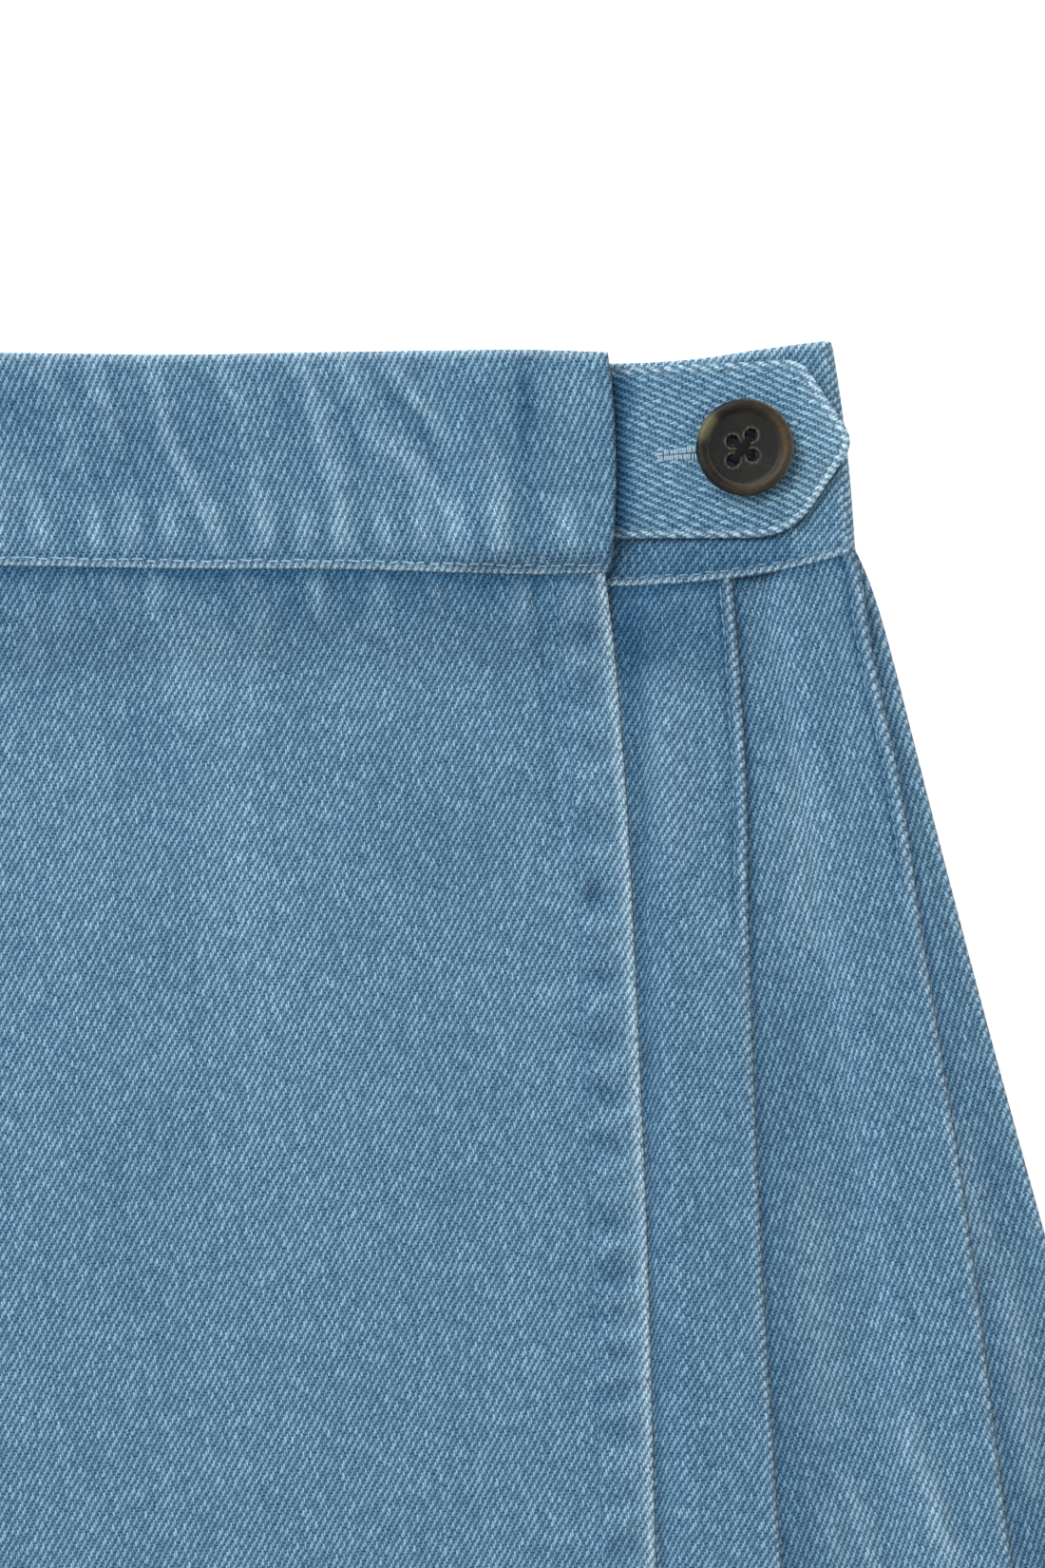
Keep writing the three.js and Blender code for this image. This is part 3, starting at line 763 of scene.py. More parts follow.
# Creases that show, as (top end, lower end in the photograph's pixels, height and width in mm)
BAND_CREASES = (
    (48, 382, 72, 446, 0.36, 1.5), (74, 446, 79, 490, 0.20, 1.5), (98, 380, 112, 420, 0.30, 1.5),
    (108, 420, 127, 475, 0.26, 1.4), (160, 380, 178, 458, 0.30, 1.7), (177, 455, 222, 552, 0.44, 1.5),
    (233, 388, 260, 430, 0.30, 1.9), (262, 445, 282, 560, 0.18, 2.2), (322, 382, 336, 440, 0.42, 1.5),
    (336, 440, 354, 502, 0.40, 1.5), (353, 500, 366, 572, 0.36, 1.7), (366, 382, 380, 420, 0.30, 1.4),
    (415, 384, 445, 428, 0.40, 1.6), (443, 425, 470, 468, 0.34, 1.7), (392, 450, 455, 510, 0.36, 2.4),
    (455, 505, 480, 560, 0.20, 2.0), (17, 488, 38, 522, 0.24, 1.6), (519, 470, 529, 574, 0.28, 2.0),
    (60, 400, 70, 446, -0.26, 1.3), (302, 390, 320, 470, -0.14, 2.0), (367, 436, 388, 490, -0.26, 1.8),
    (410, 412, 442, 448, -0.36, 1.5), (440, 446, 468, 492, -0.38, 1.5), (550, 378, 558, 450, -0.34, 1.5),
    (556, 450, 560, 575, -0.20, 1.8),
)
SEAM_SPOTS_PX = (2, 46, 102, 140, 183, 229, 279, 323, 360, 406, 446, 481, 527, 600)
SEAM_CREASES = tuple((x - 4, 532, x + 2, 576, 0.34, 1.6) for x in SEAM_SPOTS_PX)
PANEL_CREASES = (
    (125, 606, 130, 636, 0.24, 1.3), (165, 606, 165, 645, 0.36, 1.3), (250, 606, 272, 630, 0.20, 1.6),
    (335, 606, 336, 645, 0.36, 1.3), (398, 608, 403, 645, 0.24, 1.4), (458, 609, 463, 640, 0.26, 1.3),
    (546, 610, 555, 660, 0.26, 1.4), (41, 606, 36, 700, 0.20, 2.0), (77, 606, 60, 690, 0.18, 1.9),
    (196, 640, 205, 760, 0.16, 2.6), (224, 640, 236, 740, 0.16, 2.4), (274, 640, 262, 780, 0.18, 2.4),
    (604, 612, 603, 690, 0.20, 2.0),
)
SOFT_FOLDS = (
    (150, 700, 146, 900, -0.45, 7.0), (310, 690, 330, 900, -0.40, 8.0), (250, 780, 300, 1050, 0.45, 9.0),
    (480, 700, 520, 940, -0.40, 9.0), (100, 1000, 60, 1300, 0.40, 12.0),
    (180, 1250, 200, 1500, -0.35, 11.0), (420, 1200, 440, 1560, -0.30, 12.0),
    (350, 1300, 330, 1600, 0.35, 12.0), (560, 1050, 520, 1500, 0.30, 10.0),
)
UNDER_CREASES = (
    (955, 1490, 998, 1640, 0.40, 2.0), (896, 1560, 922, 1660, 0.34, 1.6),
    (872, 1585, 890, 1660, 0.30, 1.4), (978, 1560, 1010, 1660, 0.30, 1.5),
    (1010, 1180, 1040, 1330, 0.30, 2.2), (1060, 1330, 1090, 1560, 0.34, 2.4),
    (850, 1250, 870, 1480, 0.22, 4.0), (868, 720, 895, 860, -0.25, 2.6), (838, 800, 850, 980, 0.25, 3.6),
    (700, 720, 712, 900, 0.16, 4.0),
)
WRAP_TROUGHS_PX = (
    670, 734, 788, 869, 944, 1028, 1095, 1152, 1206, 1285, 1341, 1381,
    1427, 1464, 1507, 1575, 1630,
)

# Creases like them where the photograph doesn't look: (start, finish, top, low, spacing, height, width, lean)
HIDDEN_SEED = 11
HIDDEN_BAND = (13.0, -168.0, 2.0, 36.0, 7.2, 0.38, 1.9, 4.0)
HIDDEN_PANEL = (12.0, -170.0, 42.0, 66.0, 8.0, 0.30, 2.1, -2.0)
HIDDEN_FOLDS = (0.0, -230.0, 90.0, 340.0, 38.0, 0.35, 9.0, 5.0)
HIDDEN_LOW_FOLDS = (120.0, -230.0, 250.0, 380.0, 34.0, 0.35, 9.0, 5.0)

# Dents between the wrap's stitching and its edge, each with a ridge below it
WRAP_SEED = 12
WRAP_DENT = {"spacing": (7.5, 14.0), "height": (-1.2, -0.55), "width": (1.6, 2.7), "reach": (7.0, 9.5)}
WRAP_RIDGE = {"past": (1.6, 2.6), "share": -0.55, "width": 1.5}


def draw(rng, low, high):
    return lerp(low, high, rng.random())


def from_photo(rows):
    return [
        (photo_across(x0), photo_down(y0), photo_across(x1), photo_down(y1), height, width)
        for x0, y0, x1, y1, height, width in rows
    ]


def hidden_creases(rng, start, finish_at, top, low, spacing, height, width, lean):
    """Uneven creases side by side, from a start to the left."""
    made = []
    x = start
    while x > finish_at:
        long = draw(rng, 0.45, 1.0)
        v0 = top + (low - top) * (1 - long) * rng.random()
        v1 = v0 + (low - top) * long
        lean_by = lean * draw(rng, 0.6, 1.4)
        size = (height * draw(rng, 0.6, 1.3), width * draw(rng, 0.8, 1.2))
        made.append((x, v0, x + lean_by, v1, *size))
        x -= spacing * draw(rng, 0.6, 1.5)
    return made


def wrap_creases():
    """Short dents between the wrap's stitching and its edge, down to the hem."""
    rng = np.random.default_rng(WRAP_SEED)
    downs = [photo_down(px) for px in WRAP_TROUGHS_PX]
    while downs[-1] < LENGTH - 2 * HEM_TURN:
        downs.append(downs[-1] + draw(rng, *WRAP_DENT["spacing"]))
    made = []
    for down in downs:
        edge = float(wrap_edge(down))
        tilt = draw(rng, -0.4, 1.6)
        height, width, reach = (draw(rng, *WRAP_DENT[size]) for size in ("height", "width", "reach"))
        made.append((edge - reach, down - tilt, edge - 3.0, down + tilt, height, width))
        ridge = down + width + draw(rng, *WRAP_RIDGE["past"])
        size = (WRAP_RIDGE["share"] * height, WRAP_RIDGE["width"])
        made.append((edge - 8.0, ridge + 0.8, edge - 1.5, ridge - 0.8, *size))
    return made


hidden_rng = np.random.default_rng(HIDDEN_SEED)
band_relief = crease_field(
    from_photo(BAND_CREASES + SEAM_CREASES) + hidden_creases(hidden_rng, *HIDDEN_BAND)
)
panel_relief = crease_field(from_photo(PANEL_CREASES) + hidden_creases(hidden_rng, *HIDDEN_PANEL))
soft_relief = crease_field(
    from_photo(SOFT_FOLDS)
    + hidden_creases(hidden_rng, *HIDDEN_FOLDS) + hidden_creases(hidden_rng, *HIDDEN_LOW_FOLDS)
)
under_relief = crease_field(from_photo(UNDER_CREASES))
wrap_relief = crease_field(wrap_creases())

# Reliefs across a seam, fold or edge, in mm, as bells of (height, place, width)
STITCH_IN = 1.7
PUCKER_HEIGHT = 1.5
BAND_PUCKER = 1.15
PLEATS = (
    {"fold": first_fold, "end": photo_down(981)},
    {"fold": second_fold, "end": photo_down(938)},
)
PLEAT_STITCH_IN = 2.5
HEM_GROOVE = ((-0.14, -1, 0.8),)
BAND_GROOVE = ((-0.30, STITCH_IN, 0.5),)
BAND_ROLL = ((0.16, 0.6, 0.5),)
WRAP_GROOVE = ((-0.26, 0, 0.5),)
WRAP_VALLEY = ((1.0, 2.9, 1.2),)
# VALLEY's dark share is painted shade laid in the valley beside the wrap's edge.
VALLEY = {"deep": 0.45, "dark": 0.20, "fade": (80, 100), "faded": 0.8}
PLEAT_GROOVE = ((-0.30, PLEAT_STITCH_IN, 0.55), (0.22, 1.1, 0.6))
PLEAT_BULK = {"lift": 1.35, "held": 0.05, "reach": 9.0}
WRAP_BULK = {"lift": 1.05, "reach": 7.0}
BULK_START = (-0.25, 0.05)

# Shares of pale wear, and of painted light at the wrap's very edge and in the crevices past the folds and the
# wrap's edge, in the same form; on ridges as (share of their height, most)
WRAP_EDGE_WEAR_AND_LIGHT = ((0.40, 0.6, 1.0), (0.10, 0, 4.0), (0.50, 0, 0.35))
BAND_LOW_WEAR = ((0.46, 0.75, 0.62),)
BAND_HIGH_WEAR = ((0.40, 0, 1.1),)
BAND_SIDE_WEAR = ((0.40, 0, 1.8),)
SIDE_WEAR = ((0.45, 0, 1.0),)
FOLD_WEAR = ((0.55, 0, 0.9),)
CORD_WEAR = ((0.22, 1.0, 0.65),)
FOLD_FIBRES_AND_LIGHT = ((0.22, -0.05, 0.3),)
WRAP_FIBRES_AND_LIGHT = ((0.20, 0.1, 0.3),)
RIDGE_WEAR = {"band": (0.4, 0.16), "front": (0.35, 0.15), "underlap": (0.5, 0.25)}

# Shares of dark dye and painted shade, in the same form: painted shade in the stitch grooves, painted shadow
# beside the wrap's edge and under the waistbands
STITCH_LINE_SHADE = ((0.42, 0.25, 0.5),)
UNDER_ROPE = ((0.8, 0.7, 0.8),)
UNDER_SEAM_SHADOW = ((0.30, 0, 1.5),)
UNDERLAP_SEAM_SHADOW = ((0.40, 0, 1.5),)
WRAP_SEAM_SHADE = ((0.30, 0, 0.6),)
BESIDE_WRAP_SHADOW = ((0.18, 0, 6.0), (0.12, 0, 1.6))
PLEAT_LINE_SHADE = ((0.50, PLEAT_STITCH_IN, 0.7),)
BAND_DYE_AND_SHADE = {"whole": 0.12, "ridges": 0.44, "end": (125.0, 126.5)}
UNDER_BAND_SHADE = {"whole": 0.40, "strip": (32.5, 35.0), "strip_end": (160, 168), "beside": (1, 5)}
FRONT_DYE_AND_SHADE = {"dents": 0.40, "ridges": 0.12, "seam": 0.47, "reach": 7.0}
UNDERLAP_DYE_AND_SHADE = {"whole": 0.04, "seam": 0.12, "reach": 5.0}
PLEAT_SHADE = {"wide": 0.20, "close": 0.50, "opened": 0.30, "reach": 1.5}

# Zones of dye and painted shade, lighter below zero with painted light, as (x, y in the photograph's pixels,
# half sizes in mm, how dark)
FRONT_ZONES = (
    (144, 782, 4, 12, 0.12), (199, 705, 8, 10, -0.10), (254, 870, 9, 16, -0.09), (315, 782, 4, 12, 0.12),
    (66, 694, 7, 9, 0.08), (541, 727, 5, 12, 0.10), (486, 892, 12, 9, 0.08), (400, 700, 12, 8, -0.04),
    (260, 1030, 8, 20, -0.08), (166, 937, 5, 10, 0.08), (60, 900, 8, 22, -0.06), (320, 960, 6, 14, -0.06),
    (400, 860, 8, 16, 0.05), (330, 1180, 12, 20, -0.05), (120, 1250, 9, 26, 0.05), (470, 1150, 10, 24, 0.05),
    (30, 640, 8, 8, 0.10), (100, 650, 5, 8, 0.06), (250, 636, 7, 4, 0.14), (314, 640, 3, 4, 0.20),
    (370, 638, 4, 4, 0.22), (445, 634, 8, 4, 0.16), (508, 625, 2, 3, 0.14), (605, 665, 4.5, 3, 0.16),
    (165, 622, 1.4, 4, -0.20), (335, 622, 1.4, 4, -0.20), (125, 622, 1.5, 3, -0.12),
    (400, 632, 1.4, 3, -0.10), (550, 637, 1.3, 4, -0.12), (597, 622, 4, 3, -0.12),
)
UNDER_ZONES = (
    (665, 670, 5, 10, 0.34), (720, 668, 9, 9, 0.28), (760, 690, 4, 8, 0.12), (680, 900, 5, 60, 0.10),
    (860, 850, 7, 22, -0.07), (870, 740, 5, 12, 0.06), (912, 665, 2.5, 6, 0.24), (900, 1000, 9, 10, -0.04),
    (1010, 1300, 9, 50, -0.07),
)
BAND_ZONES = (
    (140, 482, 9.5, 7, 0.12), (30, 425, 7, 4, 0.12), (215, 455, 14, 5, 0.07), (500, 400, 8, 6, 0.06),
    (552, 412, 1.6, 9, 0.22), (562, 450, 3.5, 12, 0.14), (600, 402, 7, 5, -0.14), (604, 556, 6, 4, -0.10),
    (320, 558, 60, 4.0, 0.09), (300, 385, 60, 1.5, -0.12), (598, 480, 6, 16, -0.06),
)
SEAM_SPOTS = tuple((x, 554, 2.0, 3.8, -0.20) for x in SEAM_SPOTS_PX)


# Faces: how each piece's outer face is raised, worn pale, dyed dark and given painted shade beside seams,
# folds and edges, with painted light in some crevices

def bells(away, table):
    """A sum of bells, each (height, place, width)."""
    return sum(height * bell(away - place, width) for height, place, width in table)


def ridge_wear(name, field, across, down):
    """Wear on the ridges of a field of creases, as a share of their height up to a most."""
    share, most = RIDGE_WEAR[name]
    return np.clip(field(across, down) * share, 0, most)


def facing_up(normal):
    return soft(normal[:, :, 2], 0.0, 0.6)


def beads(run):
    """Uneven beads along a washed seam, one to a stitch or so."""
    return 0.6 + 0.4 * np.sin(2 * math.pi * run / 2.6 + 1.8 * np.sin(run / 6.1))


def patches(zones):
    """Soft oval zones of darker dye and painted shade (or, below zero, lighter with painted light), sized in
    mm.
    """
    def dye_and_shade(across, down):
        total = np.zeros_like(across)
        for x, y, wide, tall, much in zones:
            away = ((across - photo_across(x)) / wide) ** 2 + ((down - photo_down(y)) / tall) ** 2
            total += much * np.exp(-away)
        return total
    return dye_and_shade


def hem_groove(across, down):
    return bells(hem(across) - down - HEM_TURN, HEM_GROOVE)


front_zones = patches(FRONT_ZONES)
under_zones = patches(UNDER_ZONES)
band_zones = patches(BAND_ZONES + SEAM_SPOTS)


# Waistbands

def band_face(top, seam, field):
    """Relief of a waistband: puckers, a groove at its stitching and a rolled lower edge."""
    def relief(across, down, normal):
        above = seam(across) - down
        below = down - top(across)
        fade = soft(above, 0.3, 3.0) * soft(below, 0.2, 1.5)
        seam_shape = bells(above, BAND_GROOVE) + bells(above, BAND_ROLL) * beads(across)
        return facing_up(normal) * (seam_shape + BAND_PUCKER * field(across, down) * fade)
    return relief


def band_wear(top, seam, field):
    def pale_share(across, down, _normal):
        edges = bells(seam(across) - down, BAND_LOW_WEAR) + bells(down - top(across), BAND_HIGH_WEAR)
        edges += bells(side(down) - np.abs(across), BAND_SIDE_WEAR)
        return edges + ridge_wear("band", field, across, down)
    return pale_share


def stitch_shade(seam, across, down):
    """Painted shade in the groove along a waistband's stitches."""
    return bells(seam(across) - down - STITCH_IN, STITCH_LINE_SHADE)


def band_dye_and_shade(across, down, _normal):
    # A darker dye over the whole band, painted shade in the puckers' troughs with painted light on their
    # ridges, zones of dye and painted shade, and painted shade along the stitches.
    line = stitch_shade(front_seam, across, down) * (1 - soft(across, *BAND_DYE_AND_SHADE["end"]))
    ridges = BAND_DYE_AND_SHADE["ridges"] * band_relief(across, down)
    return BAND_DYE_AND_SHADE["whole"] - ridges + band_zones(across, down) + line


def under_band_shade(across, down, _normal):
    # Painted shadow of the tab on the strip below it and of the front waistband's end beside it, less on the
    # rolled edge, and painted shade along the stitches.
    strip = soft(down, *UNDER_BAND_SHADE["strip"]) * (1 - soft(across, *UNDER_BAND_SHADE["strip_end"]))
    beside = 1 - soft(across - BAND_END["across"], *UNDER_BAND_SHADE["beside"])
    rope = 1 - bells(under_seam(across) - down, UNDER_ROPE)
    shaded = UNDER_BAND_SHADE["whole"] * np.maximum(strip, beside) * rope
    return shaded + stitch_shade(under_seam, across, down)


# The over-wrap

def wrap_valley(inside, down):
    """The soft valley beside the wrap's turned edge, deepest near the waistband."""
    fade = 1 - VALLEY["faded"] * soft(down, *VALLEY["fade"])
    return fade * bells(inside - EDGE_TURN, WRAP_VALLEY)


def front_face(across, down, normal):
    """Relief of the over-wrap: soft folds, puckers under the band, the wrap's turned edge."""
    inside = wrap_edge(down) - across
    groove = bells(inside - EDGE_TURN, WRAP_GROOVE) - VALLEY["deep"] * wrap_valley(inside, down)
    edge_fade = soft(inside, 0.5, 2.5) * (1 - soft(inside, EDGE_TURN - 2.0, EDGE_TURN - 0.3))
    folds = PUCKER_HEIGHT * panel_relief(across, down) + soft_relief(across, down)
    body = folds * soft(inside, EDGE_TURN - 1, EDGE_TURN + 4)
    dents = wrap_relief(across, down) * edge_fade
    return facing_up(normal) * (groove + hem_groove(across, down) + body + dents)


def front_wear_and_light(across, down, _normal):
    # Pale wear along the wrap's edge, with painted light at its very edge against the shade of its rounded
    # side.
    edge = bells(wrap_edge(down) - across, WRAP_EDGE_WEAR_AND_LIGHT)
    return edge + ridge_wear("front", panel_relief, across, down)


def front_dye_and_shade(across, down, _normal):
    # Painted shade in the wrap's dents, stitch groove and valley and in the puckers' troughs, with painted
    # light on their ridges; painted shadow just under the waistband over darker dye near it; and zones of dye
    # and painted shade.
    below = down - front_seam(across)
    inside = wrap_edge(down) - across
    dents = -FRONT_DYE_AND_SHADE["dents"] * wrap_relief(across, down) * soft(inside, 0.8, 2.2)
    seam_line = bells(inside - EDGE_TURN, WRAP_SEAM_SHADE) + VALLEY["dark"] * wrap_valley(inside, down)
    puckers = -FRONT_DYE_AND_SHADE["ridges"] * panel_relief(across, down)
    by_seam = FRONT_DYE_AND_SHADE["seam"] * np.exp(-below / FRONT_DYE_AND_SHADE["reach"]) + bells(below, UNDER_SEAM_SHADOW)
    return by_seam + front_zones(across, down) + dents + seam_line + puckers


# The underlap and its pleats

def held(pleat, down, before, after):
    """1 where a pleat is stitched down, fading out round its stitching's end."""
    return 1 - soft(down, pleat["end"] - before, pleat["end"] + after)


def pleat_face(pleat, across, down):
    """A pleat's stitched groove and cord, and how the layers under its fold lift the cloth past it."""
    inside = pleat["fold"](down) - across
    past = -inside
    sewn_down = held(pleat, down, 2, 0) * bells(inside, PLEAT_GROOVE)
    lift = PLEAT_BULK["lift"] + PLEAT_BULK["held"] * held(pleat, down, 4, 12)
    clear = soft(side(down) - across, 0.8, 5.0)
    return sewn_down + lift * clear * soft(past, *BULK_START) * bell(past, PLEAT_BULK["reach"])


def pleat_painted_shade(pleat, across, down):
    """Painted shade along a pleat's stitched groove, and painted shadow on the cloth beside its fold."""
    inside = pleat["fold"](down) - across
    past = -inside
    opened = soft(down, pleat["end"] + 2, pleat["end"] + 25)
    wide = PLEAT_SHADE["wide"] * opened * bell(past, PLEAT_BULK["reach"])
    close = (PLEAT_SHADE["close"] - PLEAT_SHADE["opened"] * opened) * bell(past, PLEAT_SHADE["reach"])
    clear = 0.3 + 0.7 * soft(side(down) - across, 1.0, 8.0)
    line = held(pleat, down, 2, 0) * bells(inside, PLEAT_LINE_SHADE)
    return line + np.where(past > -0.15, (wide + close) * clear, 0)


def pleat_wear_and_light(pleat, across, down):
    """The pale line along a pleat's fold, faint where the fold is stitched down, and pale fibres with painted
    light in the crevice past the fold.
    """
    inside = pleat["fold"](down) - across
    line = lerp(bells(inside, FOLD_WEAR), bells(inside, CORD_WEAR), held(pleat, down, 3, 8))
    return np.where(inside > -0.1, line, 0) + bells(inside, FOLD_FIBRES_AND_LIGHT)


def wrap_bulk(across, down):
    """How the underlap is lifted just past the wrap's edge."""
    past = across - wrap_edge(down)
    clear = soft(down - under_seam(across), 0.5, 7.0)
    return WRAP_BULK["lift"] * clear * soft(past, *BULK_START) * bell(past, WRAP_BULK["reach"])


def underlap_face(across, down, normal):
    raised = sum(pleat_face(pleat, across, down) for pleat in PLEATS) + wrap_bulk(across, down)
    creases = PUCKER_HEIGHT * under_relief(across, down)
    return facing_up(normal) * (raised + hem_groove(across, down) + creases)


def under_dye_and_shade(across, down, _normal):
    # A little darker dye overall, painted shadow just under the waistband over darker dye near it, zones of
    # dye and painted shade, and painted shadow beside the pleats' folds and the wrap's edge.
    below = down - under_seam(across)
    pleats = sum(pleat_painted_shade(pleat, across, down) for pleat in PLEATS)
    beside = across - wrap_edge(down)
    by_wrap = np.where(beside > 0, bells(beside, BESIDE_WRAP_SHADOW), 0)
    by_seam = bells(below, UNDERLAP_SEAM_SHADOW) + UNDERLAP_DYE_AND_SHADE["seam"] * np.exp(-below / UNDERLAP_DYE_AND_SHADE["reach"])
    return UNDERLAP_DYE_AND_SHADE["whole"] + by_seam + under_zones(across, down) + pleats + by_wrap


def underlap_wear_and_light(across, down, normal):
    folds = np.maximum(*(pleat_wear_and_light(pleat, across, down) for pleat in PLEATS))
    outline = bells(side(down) - across, SIDE_WEAR)
    ridges = ridge_wear("underlap", under_relief, across, down)
    # Pale fibres, with painted light in the crevice past the wrap's edge.
    fibres_and_light = bells(across - wrap_edge(down), WRAP_FIBRES_AND_LIGHT)
    return (np.maximum(folds, outline) + ridges + fibres_and_light) * soft(normal[:, :, 2], -0.2, 0.5)


# Cloth pieces

HIDDEN_STEP = 6.0
SHOWN_END = fixed(SHOWN_LEFT - 4)
BACK_STATIONS = 90
PAST_SEAM_STATIONS = 4


def free_edge(down, _thick):
    return -wrap_edge(down)


def band_free_edge(_down, _thick):
    return -wrap_edge(WAIST_DOWN)


def edge_stations(edge, sign, high, **extra):
    """Stations of a rounded free edge, from the very edge inwards."""
    inset, full = edge_shares()
    return [at(minus(edge, sign * a), high, edge=b, **extra) for a, b in zip(inset, full)]


def round_side(count, sign, high, **extra):
    """Where the flat cloth ends, and the stations round a side of the skirt to its seam at the back."""
    outline = along(side, sign)
    inner = bend_start(sign, outline, high, floor_layer)
    seam = along(lambda down: side(down) - SIDE_SEAM_IN, sign)
    stations = bend(count, sign, outline, high, floor_layer, **extra)
    return inner, stations + spread(PAST_SEAM_STATIONS, minus(inner, sign), seam, floor_layer, **extra)


def step_down(edge):
    """1 where the over-wrap lies on the underlap, falling to 0 past the underlap's free edge."""
    return lambda across, down: 1 - soft(edge(down, 0) - STEP["start"] - across, 0, STEP["width"])


def front_panel(material):
    """The over-wrap, from its turned edge to the left and round the side."""
    over = step_down(free_edge)

    def high(across, down, thick, stack):
        share = over(across, down)
        flat = lerp(1, 2, share) * (stack + GAP) + thick / 2
        held_up = lerp(band_middle(1), band_middle(2), share)
        return lerp(flat, held_up, seam_fade(across, down))

    wrap = along(wrap_edge)
    step_top = minus(free_edge, STEP["start"])
    step_foot = minus(step_top, STEP["width"])
    inner, back = round_side(9, -1, high)
    stations = [
        *edge_stations(wrap, 1, high, turn=1),
        *spread(10, minus(wrap, EDGE_ROUND), minus(wrap, EDGE_TURN - TURN_STEP / 2), high, turn=1),
        *[at(minus(wrap, EDGE_TURN + t * TURN_STEP), high, turn=0.5 - t) for t in (-0.25, 0, 0.25)],
        *spread(98, minus(wrap, EDGE_TURN + TURN_STEP / 2), SHOWN_END, high),
        *spread(25, minus(SHOWN_END, HIDDEN_STEP), minus(step_top, -0.5), high),
        *spread(10, step_top, step_foot, high),
        *spread(8, minus(step_foot, 2), minus(inner, -3), high),
        *back,
    ]
    return cloth_piece(
        ("front_cloth", "front_panel"), material, panel_rows(True), stations, CLOTH,
        (front_top, front_seam), "front", (front_face, front_wear_and_light, front_dye_and_shade),
    )


def under_edge(fold):
    """Where a pleat's middle layer turns back under it."""
    def place(down, thick):
        depth = PLEAT_DEPTH + PLEAT_GROWTH * growth(down)
        return fold(down) - depth - 2 * (thick + GAP / 2)
    return place


def ramp_foot(fold):
    """Where the cloth starts to rise over a pleat's lower layers."""
    turn = under_edge(fold)
    return lambda down, thick: turn(down, thick) - RAMP - RAMP_GROWTH * growth(down)


def pleat_stations(fold, low_before, before, after, start=None, count=9):
    """A knife pleat: ramp, top layer, half turn, middle layer, half turn back, cloth under the fold."""
    edge, turn, foot = along(fold), under_edge(fold), ramp_foot(fold)
    top, middle, low = layer(3), layer(2), layer(1)

    def ramp(across, down, thick, stack):
        low_end = foot(down, thick)
        share = (across - low_end) / (turn(down, thick) - low_end)
        here = (across, down, thick, stack)
        return lerp(low_before(*here), top(*here), soft(share, 0, 1))

    return [
        *spread(count, start or foot, minus(turn, 0.7), ramp, grain=before),
        *spread(12, turn, minus(bend_start(1, edge, top, middle), 0.6), top, grain=before),
        *bend(11, 1, edge, top, middle, grain=before),
        *bend(7, -1, turn, middle, low, grain=after),
        *spread(3, minus(edge, 3.0), minus(edge, 0.6), low, grain=after),
        *spread(7, minus(edge, 0.35), minus(edge, -0.25), low, grain=after),
    ]


def underlap_panel(material):
    """The underlap, from its free edge over its two pleats to the right and round the side."""
    low = layer(1)

    def lifted(across, down, thick, stack):
        return lerp(low(across, down, thick, stack), band_middle(1), seam_fade(across, down))

    inner, back = round_side(11, 1, low, grain="side")

    def second_past(down, thick):
        return lerp(second_fold(down) + 0.25, inner(down, thick), 0.06)

    wrap, first = along(wrap_edge), along(first_fold)
    hidden_end = fixed(120)
    stations = [
        *edge_stations(free_edge, -1, lifted, grain="under"),
        *spread(40, minus(free_edge, -2), hidden_end, lifted, grain="under"),
        *spread(6, minus(hidden_end, -2), minus(wrap, 1.5), lifted, grain="under"),
        *spread(6, minus(wrap, 0.35), minus(wrap, -0.15), lifted, grain="under"),
        *pleat_stations(first_fold, lifted, "under", "pleat", minus(wrap, -0.5), 17),
        *spread(7, minus(first, -0.6), minus(first, -2.4), low, grain="pleat"),
        *spread(15, minus(first, -3.4), minus(ramp_foot(second_fold), 1.0), low, grain="pleat"),
        *pleat_stations(second_fold, low, "pleat", "side"),
        *spread(20, second_past, minus(inner, 0.5), low, grain="side"),
        *back,
    ]
    return cloth_piece(
        ("underlap_cloth", "underlap_panel"), material, panel_rows(True), stations, CLOTH,
        (under_top, under_seam), "under", (underlap_face, underlap_wear_and_light, under_dye_and_shade),
    )


def back_piece(names, material, rows, thick):
    """A plain piece on the floor between the two side seams."""
    def seam(down):
        return side(down) - SIDE_SEAM_IN - GAP

    stations = spread(BACK_STATIONS, along(seam, -1), along(seam), floor_layer)
    cloth_piece(names, material, rows, stations, thick, (back_top, back_seam), "back")


def waistband(names, material, stations, edges, grain, field, dye_and_shade):
    looks = (band_face(*edges, field), band_wear(*edges, field), dye_and_shade)
    return cloth_piece(names, material, band_rows(True), stations, BAND, edges, grain, looks)


def underlap_waistband(material):
    """The underlap's waistband, lifted at its lower edge by the pleats, and round the right side."""
    def high(across, down, _thick, _stack):
        over = soft(across, PLEAT_LIFT["from"], PLEAT_LIFT["to"])
        low = soft(down, PLEAT_LIFT["hold"], PLEAT_LIFT["out"])
        return band_middle(1) + PLEAT_LIFT["height"] * over * low

    inner, back = round_side(15, 1, high)
    hidden_end = fixed(118)
    stations = [
        *edge_stations(band_free_edge, -1, high),
        *spread(30, minus(band_free_edge, -2), hidden_end, high),
        *spread(44, minus(hidden_end, -1.5), minus(inner, 0.6), high),
        *back,
    ]
    return waistband(
        ("underlap_band_cloth", "underlap_waistband"), material, stations,
        (under_top, under_seam), "under_band", nothing, under_band_shade,
    )


def band_end(down, _thick):
    """The over-wrap waistband's free end: a little bowed, with a round lower corner."""
    away = (down - BAND_END["middle"]) / BAND_END["middle"]
    straight = BAND_END["across"] + BAND_END["swell"] * (1 - away * away)
    corner = np.clip((down - front_seam(BAND_END["across"])) / BAND_END["round"] + 1, 0, 1)
    return straight - BAND_END["round"] * (1 - np.sqrt(1 - corner * corner * 0.98))


